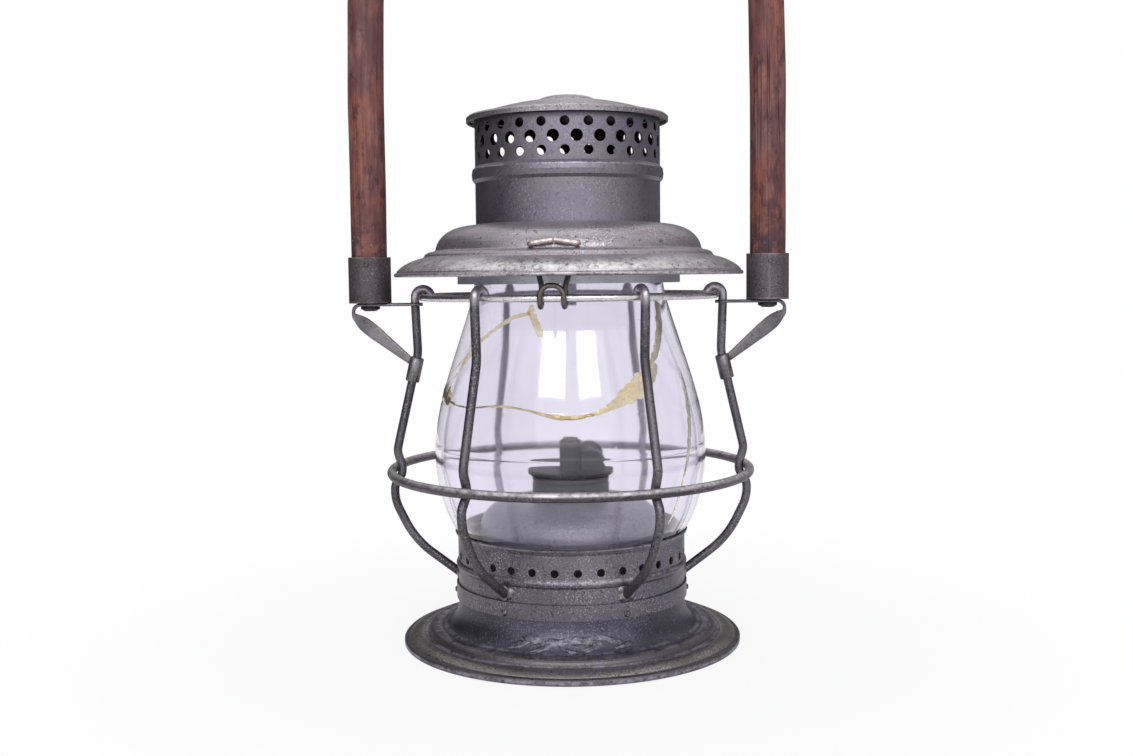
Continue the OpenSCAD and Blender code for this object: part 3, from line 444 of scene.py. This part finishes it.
def lathe(name, loop, material, body):
    """Closed loop of (radius, height) in millimetres, turned about the Z axis."""
    verts, faces, rows = [], [], len(loop)
    for r, z in loop:
        for k in range(LATHE_SIDES):
            a = 2 * math.pi * k / LATHE_SIDES
            verts.append((r * math.cos(a) * MM, r * math.sin(a) * MM, z * MM))
    for i in range(rows):
        faces += ring_faces(i * LATHE_SIDES, (i + 1) % rows * LATHE_SIDES, LATHE_SIDES)
    return piece(name, verts, faces, material, body)


# Globe, with the thickness of the solid and two fine mould lines
SEAT, GLASS_T, GLASS_H, BELLY, LIP_H = 42.1, 3.4, 136, 83.1, 0.8
outer = ([(47.4, SEAT)] + cubic((47.4, SEAT + 3.5), (53.5, SEAT + 8.4), (59.6, BELLY - 17), (59.6, BELLY), 26)
         + cubic((59.6, BELLY), (59.6, BELLY + 20), (50.5, BELLY + 41), (43.8, BELLY + 63), 40)[1:]
         + cubic((43.8, BELLY + 63), (42.2, BELLY + 68.3), (41, BELLY + 73), (41, BELLY + 78), 12)[1:]
         + [(41, SEAT + GLASS_H - LIP_H)])
MOULD_LINES = (86.4, 104.6)


def fine_profile(path, pitch=0.45):
    out = []
    for a, b in zip(path, path[1:]):
        n = max(1, round(math.dist(a, b) / pitch))
        out += [(a[0] + (b[0] - a[0]) * i / n, a[1] + (b[1] - a[1]) * i / n) for i in range(n)]
    return out + [path[-1]]


def offset(path, i, by):
    a, b = path[max(i - 1, 0)], path[min(i + 1, len(path) - 1)]
    along = math.dist(a, b)
    return (path[i][0] - by * (b[1] - a[1]) / along, path[i][1] + by * (b[0] - a[0]) / along)


def globe_radius(z):
    """Outer radius of the globe at a height, in millimetres."""
    for a, b in zip(outer, outer[1:]):
        if a[1] <= z <= b[1] and b[1] > a[1]:
            return a[0] + (b[0] - a[0]) * (z - a[1]) / (b[1] - a[1])
    return outer[-1][0]


def ridge(z):
    """How far the mould lines stand out at a height."""
    return 0.16 * max(math.exp(-((z - at) / 0.34) ** 2) for at in MOULD_LINES)


skin = fine_profile(outer, 1.6)
ridged = []
for r, z in fine_profile(outer):
    if any(abs(z - at) < 1.2 for at in MOULD_LINES):
        ridged.append((r + ridge(z), z))
    elif not ridged or math.dist(ridged[-1], (r, z)) > 1.5:
        ridged.append((r, z))
ridged.append(outer[-1])
inner = [offset(skin, i, GLASS_T) for i in range(len(skin) - 1, -1, -1)]
inner[0], inner[-1] = (inner[0][0], outer[-1][1]), (inner[-1][0], SEAT)
lip_r, lip_z = outer[-1]
lip = [(lip_r - 0.5, lip_z + 0.65), (lip_r - GLASS_T / 2, lip_z + LIP_H), (lip_r - GLASS_T + 0.5, lip_z + 0.65)]
globe = lathe("glass_globe", ridged + lip + inner, glass(), "frame")
globe.visible_shadow = False
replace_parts(globe, "globe")


# Mended breaks of the globe: beads of cement along lines given as azimuth and height
def through(points, steps=10):
    """Smooth line through points, with any further numbers of a point carried along."""
    out = []
    for i in range(len(points) - 1):
        a, b, c, d = points[max(i - 1, 0)], points[i], points[i + 1], points[min(i + 2, len(points) - 1)]
        for k in range(steps):
            t = k / steps
            out.append(tuple(0.5 * (2 * q + (r - p) * t + (2 * p - 5 * q + 4 * r - s) * t * t
                                    + (3 * q - p - 3 * r + s) * t ** 3) for p, q, r, s in zip(a, b, c, d)))
    return out + [tuple(points[-1])]


def bead(name, points, lift, material, inside=False, ragged=0.6):
    """Bead on the globe along (azimuth, height, half width), proud of the glass by lift in its middle."""
    line = through(points)
    verts, faces = [], []
    across = (-1, -0.7, -0.35, 0, 0.35, 0.7, 1)
    for i, (turn, z, half) in enumerate(line):
        (t0, z0, _), (t1, z1, _) = line[max(i - 1, 0)], line[min(i + 1, len(line) - 1)]
        r = globe_radius(z)
        ds, dz = math.radians(t1 - t0) * r, z1 - z0
        long = math.hypot(ds, dz)
        for t in across:
            side = half * t * (1 + ragged * noise.noise(Vector((i * 0.31, t * 2, len(points) + lift))))
            zz = z + ds / long * side
            a = math.radians(turn) - dz / long * side / r
            up = lift * (1 - t * t) * (0.7 + 0.6 * noise.noise(Vector((i * 0.23, t, 7.7))))
            rr = globe_radius(zz) - GLASS_T - 0.12 - up if inside else globe_radius(zz) + ridge(zz) + 0.04 + up
            verts.append((rr * math.cos(a) * MM, rr * math.sin(a) * MM, zz * MM))
    n = len(across)
    for i in range(len(line) - 1):
        for k in range(n - 1):
            quad = (i * n + k, i * n + k + 1, (i + 1) * n + k + 1, (i + 1) * n + k)
            faces.append(quad[::-1] if inside else quad)
    piece(name, verts, faces, material, "frame")


thin = glue("pale_cement", (0.95, 0.8, 0.42), (0.85, 0.61, 0.19), 0.85)
thick = glue("deep_cement", (0.83, 0.62, 0.2), (0.52, 0.31, 0.06), 0.8)
bead("mend_left", [(-178, 112, 1.6), (-171, 110.4, 3.0), (-163, 108.6, 2.6), (-156, 107.6, 1.3),
                   (-149, 106.8, 0.5)], 0.35, thick, ragged=1.0)
bead("mend_long", [(-150, 106.8, 0.4), (-140, 106.2, 0.35), (-131, 106.7, 0.4), (-122, 107.7, 0.5),
                   (-114.5, 107.4, 0.45), (-107.5, 106.4, 0.4), (-100.8, 105.0, 0.6), (-94.5, 103.9, 1.0),
                   (-87.4, 103.7, 0.8), (-80.3, 104.8, 0.5)], 0.35, thick)
bead("mend_fan", [(-84, 104.2, 0.4), (-77, 106.0, 1.1), (-70, 108.9, 2.3), (-63, 112.8, 3.7), (-56.5, 116.4, 4.3),
                  (-51, 119.6, 3.2), (-46, 123.4, 1.2)], 0.3, thin, ragged=0.35)
bead("mend_strip", [(-50, 123.6, 0.8), (-45, 127.4, 1.5), (-40, 132.5, 1.9), (-34, 141.0, 2.3), (-30, 148.7, 2.4)],
     0.3, thick, ragged=0.4)
bead("mend_drop", [(-111.7, 148.1, 1.2), (-111.8, 145, 1.4), (-108.4, 140.3, 1.7), (-104.9, 136.4, 1.4),
                   (-100.8, 135, 0.6)], 0.25, thin, True)
bead("mend_arc", [(-112.3, 144.6, 0.9), (-121.3, 143, 0.8), (-130.6, 139.3, 0.9), (-140.5, 134.3, 0.9),
                  (-148, 128.5, 1.5), (-156.5, 121.6, 2.0), (-167.7, 115.1, 2.4), (-175.7, 108.8, 1.6)],
     0.2, thin, True)
bead("mend_side", [(-26.9, 119.2, 0.8), (-27.5, 112.7, 1.5), (-29.5, 104.7, 1.8), (-31.2, 96.7, 1.5),
                   (-33.6, 88.9, 1.4), (-36, 81, 1.1), (-37.7, 75.5, 0.6), (-39.2, 69.1, 1.0), (-40.4, 62.6, 1.0),
                   (-42.6, 56.9, 0.5)], 0.3, thick)

# Bent wooden bail, swept along the middle line of the solid
ACROSS = Vector((0, 1, 0))
BAIL_R, FOOT_X, ARCH_X, FOOT_Z, KNEE_Z, TOP_Z = 7.9, 87.2, 84.5, 150.3, 240, 358
KNEE_R, ARCH_R = 600, ARCH_X - 0.8
BAIL_SIDES = 48


def bent_line(points, radii, pitch=2.0):
    """Points and tangents along a path whose inner corners are rounded to the given radii."""
    out, last = [], points[0]
    for i, radius in enumerate(radii):
        a, b, c = points[i:i + 3]
        u, v = (b - a).normalized(), (c - b).normalized()
        turn = u.angle(v)
        start = b - u * radius * math.tan(turn / 2)
        n = max(1, round((start - last).length / pitch))
        out += [(last + (start - last) * k / n, u) for k in range(n)]
        inward = (v - u * u.dot(v)).normalized()
        n = max(6, round(radius * turn / pitch))
        for k in range(n):
            t = turn * k / n
            out.append((start + (u * math.sin(t) + inward * (1 - math.cos(t))) * radius,
                        u * math.cos(t) + inward * math.sin(t)))
        last = b + v * radius * math.tan(turn / 2)
    n = max(1, round((points[-1] - last).length / pitch))
    return out + [(last + (points[-1] - last) * k / n, v) for k in range(n + 1)]


def bail_bow():
    """The bow, and on its points the grain's own coordinates, which run along it."""
    half = [(-FOOT_X, FOOT_Z), (-FOOT_X, KNEE_Z), (-ARCH_X, TOP_Z)]
    corners = [Vector((x, 0, z)) for x, z in half + [(-x, z) for x, z in reversed(half)]]
    line = bent_line(corners, (KNEE_R, ARCH_R, ARCH_R, KNEE_R))
    verts, faces, grain, run = [], [], [], 0.0
    for i, (p, t) in enumerate(line):
        if i:
            run += (p - line[i - 1][0]).length
        across = Vector((t.z, 0, -t.x))
        for k in range(BAIL_SIDES):
            a = 2 * math.pi * k / BAIL_SIDES
            dent = noise.noise(Vector((math.cos(a) * 0.9, math.sin(a) * 0.9, run * 0.03)))
            r = BAIL_R - 0.16 + 0.14 * dent
            verts.append((p + (across * math.cos(a) + ACROSS * math.sin(a)) * r) * MM)
            grain.append((BAIL_R * math.cos(a) * MM, BAIL_R * math.sin(a) * MM, run * MM))
    last = (len(line) - 1) * BAIL_SIDES
    for first in range(0, last, BAIL_SIDES):
        faces += ring_faces(first, first + BAIL_SIDES, BAIL_SIDES, flip=True)
    faces.append(tuple(range(BAIL_SIDES)))
    faces.append(tuple(last + k for k in range(BAIL_SIDES - 1, -1, -1)))
    bail = piece("bail_bow", verts, faces, wood(), "frame")
    way = bail.data.attributes.new("grain", "FLOAT_VECTOR", "POINT")
    way.data.foreach_set("vector", [c for g in grain for c in g])
    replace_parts(bail, "bail")


bail_bow()

# Flat woven wick
WICK_T, WICK_W, WICK_LOW, WICK_TOP = 6.8, 15.2, 28.6, 88.6
WICK_SIDES, WICK_ROWS = 64, 120


def woven_wick():
    verts, faces, ring = [], [], []
    straight = WICK_W - WICK_T
    for k in range(WICK_SIDES):
        a = 2 * math.pi * k / WICK_SIDES
        ring.append((WICK_T / 2 * math.cos(a), WICK_T / 2 * math.sin(a) + math.copysign(straight / 2, math.sin(a))))
    for i in range(WICK_ROWS + 1):
        z = WICK_LOW + (WICK_TOP - WICK_LOW) * i / WICK_ROWS
        for k, (x, y) in enumerate(ring):
            weave = 0.12 * (1 if (i // 2 + k // 2) % 2 else -1)
            f = 1 - (0.22 + weave) / (WICK_T / 2)
            top = 0.5 * noise.noise(Vector((x * 0.8, y * 0.8, 3.1))) - 0.5 if i == WICK_ROWS else 0
            verts.append((x * f * MM, y * f * MM, (z + top) * MM))
    last = WICK_ROWS * WICK_SIDES
    for first in range(0, last, WICK_SIDES):
        faces += ring_faces(first, first + WICK_SIDES, WICK_SIDES)
    faces.append(tuple(range(WICK_SIDES - 1, -1, -1)))
    faces.append(tuple(last + k for k in range(WICK_SIDES)))
    wick = piece("woven_wick", verts, faces, cotton(), "wick")
    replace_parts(wick, "wick")


woven_wick()


# Ears: one strap each, bent round below the bail, twisted into a brace and closed round the upright
EAR_T, EAR_W, EYE_W, BEND_W, BRACE_W, TIP_W = 1.44, 8.9, 6.8, 7.4, 6.2, 3.2
EAR_Z, EYE_X, EYE_R = 148.25, 67.5, 3.3
EAR_BEND, EAR_MID_R, BRACE_END = Vector((91.5, 0, 145.05)), 3.2, Vector((70.02, 0, 123.4))
BRACE_GAP = BRACE_END - EAR_BEND
BRACE_TURN = math.atan2(BRACE_GAP.z, BRACE_GAP.x) + math.acos(EAR_MID_R / BRACE_GAP.length)
TWIST_FROM, TWIST_TO = math.radians(70), 0.36
SLEEVE_AT, SLEEVE_WAY, SLEEVE_L = Vector((68.31, 0, 119.6)), Vector((-0.2276, 0, 0.9738)), 11
SLEEVE_EDGE = [(1.93, 0.25), (2.3, 0), (2.85, 0.12), (3.12, 0.5)]
EAR_SIDES, SLEEVE_SIDES = 24, 48
FLAT_STEPS, BEND_STEPS, BRACE_STEPS = 24, 20, 30
WIDEN_RUN = 14


def ease(t):
    t = min(max(t, 0), 1)
    return t * t * (3 - 2 * t)


def ear_line():
    """Places along the middle of the strap: point, outward normal, width and twist."""
    out = []
    for i in range(FLAT_STEPS + 1):
        x = EYE_X - EYE_R + 0.02 + (EAR_BEND.x - EYE_X + EYE_R - 0.02) * i / FLAT_STEPS
        wide = EYE_W + (EAR_W - EYE_W) * ease((x - EYE_X) / WIDEN_RUN)
        if x < EYE_X:
            wide = EYE_W * math.sqrt(1 - ((EYE_X - x) / EYE_R) ** 2)
        out.append((Vector((x, 0, EAR_Z)), Vector((0, 0, 1)), wide, 0))
    start = EAR_BEND + EAR_MID_R * Vector((math.cos(BRACE_TURN), 0, math.sin(BRACE_TURN)))
    long = (BRACE_END - start).length
    run = (TWIST_FROM - BRACE_TURN) * EAR_MID_R
    whole = run + TWIST_TO * long
    for i in range(1, BEND_STEPS + 1):
        a = math.pi / 2 + (BRACE_TURN - math.pi / 2) * i / BEND_STEPS
        side = Vector((math.cos(a), 0, math.sin(a)))
        out.append((EAR_BEND + EAR_MID_R * side, side, EAR_W + (BEND_W - EAR_W) * i / BEND_STEPS,
                    ease((TWIST_FROM - a) * EAR_MID_R / whole)))
    for i in range(1, BRACE_STEPS + 1):
        t = i / BRACE_STEPS
        taper = max(0, t - TWIST_TO) / (1 - TWIST_TO)
        wide = BEND_W + (BRACE_W - BEND_W) * ease(t / TWIST_TO) + (TIP_W - BRACE_W) * taper
        out.append((start + (BRACE_END - start) * t, side, wide, ease((run + t * long) / whole)))
    return out


def ear(name, node, mirror):
    """Strap and sleeve of one ear; the left one is the right one mirrored."""
    verts, faces = [], []
    for at, side, wide, twist in ear_line():
        a = twist * math.pi / 2
        w, h = ACROSS * math.cos(a) + side * math.sin(a), side * math.cos(a) - ACROSS * math.sin(a)
        for k in range(EAR_SIDES):
            c, d = math.cos(2 * math.pi * k / EAR_SIDES), math.sin(2 * math.pi * k / EAR_SIDES)
            c, d = (math.copysign(math.sqrt(abs(v)), v) for v in (c, d))
            verts.append(at + w * c * wide / 2 + h * d * EAR_T / 2)
    first = len(verts)
    last = first - EAR_SIDES
    for row in range(0, last, EAR_SIDES):
        faces += ring_faces(row, row + EAR_SIDES, EAR_SIDES)
    faces.append(tuple(range(EAR_SIDES - 1, -1, -1)))
    faces.append(tuple(last + k for k in range(EAR_SIDES)))
    edge = SLEEVE_EDGE + [(r, SLEEVE_L - z) for r, z in reversed(SLEEVE_EDGE)]
    square = SLEEVE_WAY.cross(ACROSS)
    for r, z in edge:
        middle = SLEEVE_AT + SLEEVE_WAY * (z - SLEEVE_L / 2)
        for k in range(SLEEVE_SIDES):
            a = 2 * math.pi * k / SLEEVE_SIDES
            dent = 0.12 * noise.noise(Vector((2 * math.cos(a), 2 * math.sin(a), z * 0.4))) - 0.06 if r > 2.5 else 0
            verts.append(middle + (square * math.cos(a) + ACROSS * math.sin(a)) * (r + dent))
    for i in range(len(edge)):
        here, onward = (first + n % len(edge) * SLEEVE_SIDES for n in (i, i + 1))
        faces += ring_faces(here, onward, SLEEVE_SIDES, flip=True)
    if mirror:
        verts = [Vector((-v.x, v.y, v.z)) for v in verts]
        faces = [f[::-1] for f in faces]
    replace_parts(piece(name, [v * MM for v in verts], faces, ear_metal, "frame"), node)


ear("ear_strap_left", "ear_left", True)
ear("ear_strap_right", "ear_right", False)


# Outer ring of the base, rolled up between the groove and the rim
ROLL_IN, ROLL_OUT, ROLL_RISE, ROLL_SINK = (65.6, 4.1), (72.3, 2.55), 0.9, 0.3
ROLL_STEPS = 14
arch = [(ROLL_IN[0], ROLL_IN[1] - ROLL_SINK)]
for i in range(ROLL_STEPS + 1):
    t = i / ROLL_STEPS
    r, z = (a + (b - a) * t for a, b in zip(ROLL_IN, ROLL_OUT))
    arch.append((r, z - 0.06 + ROLL_RISE * (1 - (2 * t - 1) ** 2)))
arch.append((ROLL_OUT[0], ROLL_OUT[1] - ROLL_SINK))
lathe("base_roll", arch, rim_metal, "frame")


# Old solder at the feet of the uprights, and torn solder on the front of the base
NECK_R, WIRE_FOOT_Z, FRONT_TURN = 50.2, 29, 3.6
BLOB_RINGS, BLOB_SPOKES = 9, 30
FLARE_STEPS, FLARE_RUN, CLEAR = 200, 14.5, 0.02
FLARE = cubic((57.6, 6.8), (53.4, 7.5), (NECK_R, 11.5), (NECK_R, 18), FLARE_STEPS)


def blob(name, place, size, lift, material, seed, lean=0.0):
    """Low lump with a ragged edge; place(u, v, h) gives the point of a surface, h above it."""
    verts, faces = [place(0, 0, lift)], []
    for i in range(1, BLOB_RINGS + 1):
        t = i / BLOB_RINGS
        for k in range(BLOB_SPOKES):
            a = 2 * math.pi * k / BLOB_SPOKES
            edge = 1 + 0.45 * noise.noise(Vector((2.1 * math.cos(a), 2.1 * math.sin(a), seed)))
            u, v = size[0] * t * edge * math.cos(a), size[1] * t * edge * math.sin(a)
            u, v = u * math.cos(lean) - v * math.sin(lean), u * math.sin(lean) + v * math.cos(lean)
            h = lift * (1 - t ** 4) * (1 + 0.5 * noise.noise(Vector((u * 0.5, v * 0.5, seed + 4)))) + 0.05 * (1 - t)
            verts.append(place(u, v, h))
    for k in range(BLOB_SPOKES):
        faces.append((0, 1 + k, 1 + (k + 1) % BLOB_SPOKES))
    for i in range(BLOB_RINGS - 1):
        faces += ring_faces(1 + i * BLOB_SPOKES, 1 + (i + 1) * BLOB_SPOKES, BLOB_SPOKES, flip=True)
    piece(name, [tuple(c * MM for c in v) for v in verts], faces, material, "frame")


def on_neck(turn, z):
    """Surface of the base's neck, round a point of it."""
    def place(u, v, h):
        a = math.radians(turn) + u / NECK_R
        r = NECK_R + CLEAR + h
        return r * math.cos(a), r * math.sin(a), z + v
    return place


def on_flare(turn, at):
    """Surface of the base's flare, round the share at of its profile."""
    def place(u, v, h):
        k = round(min(max(at + v / FLARE_RUN, 0.03), 0.97) * FLARE_STEPS)
        (r, z), (r1, z1) = FLARE[k], FLARE[k + 1]
        dr, dz = r1 - r, z1 - z
        d = math.hypot(dr, dz)
        r, z = r + (h + CLEAR) * dz / d, z - (h + CLEAR) * dr / d
        a = math.radians(turn) + u / r
        return r * math.cos(a), r * math.sin(a), z
    return place


lead, torn = solder("foot_solder", (0.3, 0.288, 0.3)), solder("torn_solder", (0.2, 0.194, 0.235))
for i in range(len(WIRES)):
    turn = i * 60 - (FRONT_TURN if i > 3 else 0)
    blob(f"foot_solder_{i + 1}", on_neck(turn, WIRE_FOOT_Z + 0.2), (4.6, 3.4), 0.9, lead, seed=i * 2.7)
# azimuth, share of the flare, half width, half height and lean of each lump
TORN = [(-115, 0.42, 5, 1.6, 0.4), (-108, 0.62, 6, 1.9, -0.3), (-103, 0.36, 5, 1.5, 0.5), (-97, 0.55, 6, 2.1, 0.1),
        (-92, 0.3, 4, 1.3, -0.4), (-86, 0.6, 6.5, 1.9, -0.1), (-80, 0.42, 5, 1.7, 0.45), (-72, 0.56, 6, 1.6, -0.35),
        (-66, 0.38, 5, 1.4, 0.2)]
for i, (turn, at, wide, high, lean) in enumerate(TORN):
    blob(f"torn_solder_{i + 1}", on_flare(turn, at), (wide, high), 0.45, torn, seed=20 + i * 3.1, lean=lean)


# Studio

def mixed_world():
    """White where it is seen, and a dimmer, cooler light elsewhere."""
    world = bpy.data.worlds.new("studio")
    bpy.context.scene.world = world
    world.use_nodes = True
    t = world.node_tree
    t.nodes.clear()
    out = t.nodes.new("ShaderNodeOutputWorld")
    mix = t.nodes.new("ShaderNodeMixShader")
    path = t.nodes.new("ShaderNodeLightPath")
    seen = t.nodes.new("ShaderNodeBackground")
    seen.inputs["Color"].default_value = (1, 1, 1, 1)
    light = t.nodes.new("ShaderNodeBackground")
    light.inputs["Color"].default_value = (0.93, 0.95, 1.0, 1)
    light.inputs["Strength"].default_value = 0.32
    either = path.outputs[SEEN_RAYS[0]]
    for name in SEEN_RAYS[1:]:
        n = t.nodes.new("ShaderNodeMath")
        n.operation = "MAXIMUM"
        t.links.new(either, n.inputs[0])
        t.links.new(path.outputs[name], n.inputs[1])
        either = n.outputs[0]
    t.links.new(either, mix.inputs[0])
    t.links.new(light.outputs[0], mix.inputs[1])
    t.links.new(seen.outputs[0], mix.inputs[2])
    t.links.new(mix.outputs[0], out.inputs[0])


mixed_world()


def soft_box(name, at, aim, size, power):
    lamp = bpy.data.lights.new(name, "AREA")
    lamp.shape = "RECTANGLE"
    lamp.size, lamp.size_y = size
    lamp.energy = power
    obj = bpy.data.objects.new(name, lamp)
    obj.location = at
    obj.rotation_euler = (Vector(aim) - Vector(at)).to_track_quat("-Z", "Y").to_euler()
    bpy.context.scene.collection.objects.link(obj)


soft_box("window_left", (-0.42, -1.35, 0.93), (-0.02, 0, 0.14), (0.62, 0.26), 3.6)
soft_box("window_right", (0.46, -1.35, 0.92), (0.02, 0, 0.14), (0.54, 0.26), 3.2)
soft_box("front_fill", (0.1, -1.75, 0.95), (0, 0, 0.12), (2.4, 1.4), 10.0)
soft_box("overhead", (0, 0.1, 1.7), (0, 0, 0), (1.4, 1.2), 7.5)


def screen(name, a, b, top, tone):
    """Dark studio screen that stands from a to b on the floor, which only reflections show."""
    mesh = bpy.data.meshes.new(name)
    mesh.from_pydata([(*a, -0.1), (*b, -0.1), (*b, top), (*a, top)], [], [(0, 1, 2, 3)])
    obj = bpy.data.objects.new(name, mesh)
    bpy.context.scene.collection.objects.link(obj)
    obj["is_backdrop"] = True
    obj.visible_camera = obj.visible_diffuse = obj.visible_transmission = obj.visible_shadow = False
    felt = Mat(name)
    felt.set(Base_Color=felt.blend(felt.noise(300, 2), (tone,) * 3, (tone * 1.3,) * 3), Roughness=0.95)
    mesh.materials.append(felt.material)


screen("screen_left", (-0.62, -0.35), (-0.62, 1.0), 0.66, 0.03)
screen("screen_right", (0.66, -0.3), (0.66, 1.0), 0.6, 0.5)
screen("screen_back_left", (-0.62, 1.0), (-0.06, 1.0), 0.75, 0.03)
screen("screen_back_right", (0.06, 1.0), (0.66, 1.0), 0.75, 0.05)

FLOOR_HALF, FLOOR_Z = 4, -0.0004
corners = [(x * FLOOR_HALF, y * FLOOR_HALF, FLOOR_Z) for x, y in ((-1, -1), (1, -1), (1, 1), (-1, 1))]
floor_mesh = bpy.data.meshes.new("floor")
floor_mesh.from_pydata(corners, [], [(0, 1, 2, 3)])
floor = bpy.data.objects.new("floor", floor_mesh)
bpy.context.scene.collection.objects.link(floor)
floor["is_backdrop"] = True
pale = Mat("pale_floor")
pale.set(Base_Color=(0.9, 0.9, 0.9), Roughness=0.9, Specular_IOR_Level=0.1)
glow = pale.add("ShaderNodeEmission")
mix = pale.add("ShaderNodeMixShader")
away = pale.step(pale.radius(), 0.08, 0.3)
path = pale.add("ShaderNodeLightPath")
seen = pale.most(*(path.outputs[name] for name in SEEN_RAYS))
pale.put(pale.times(pale.between(away, 0.88, 1.0), seen), mix.inputs[0])
pale.tree.links.new(pale.shader.outputs[0], mix.inputs[1])
pale.tree.links.new(glow.outputs[0], mix.inputs[2])
pale.tree.links.new(mix.outputs[0], pale.output.inputs["Surface"])
floor_mesh.materials.append(pale.material)

# Camera fitted to the picture, which is 1133 by 756 pixels
FOCAL_PX, WIDE_PX, AXIS_PX, SENSOR_MM = 1282, 1133, 3.2, 36
lens = bpy.data.cameras.new("camera")
lens.sensor_width = SENSOR_MM
lens.lens = SENSOR_MM * FOCAL_PX / WIDE_PX
camera = bpy.data.objects.new("camera", lens)
pitch, roll, yaw = math.radians(4.54), math.radians(0.606), math.atan(AXIS_PX / FOCAL_PX)
turn = Euler((0, 0, yaw)).to_matrix() @ Euler((math.pi / 2 - pitch, 0, 0)).to_matrix()
turn = turn @ Euler((0, 0, -roll)).to_matrix()
camera.matrix_world = turn.to_4x4()
camera.location = (0, -0.564, 0.1599)
bpy.context.scene.collection.objects.link(camera)
bpy.context.scene.camera = camera
bpy.context.scene.view_settings.view_transform = "Standard"

plain = [[list(map(float, corner)) for corner in box] for box in (cad_box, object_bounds())]
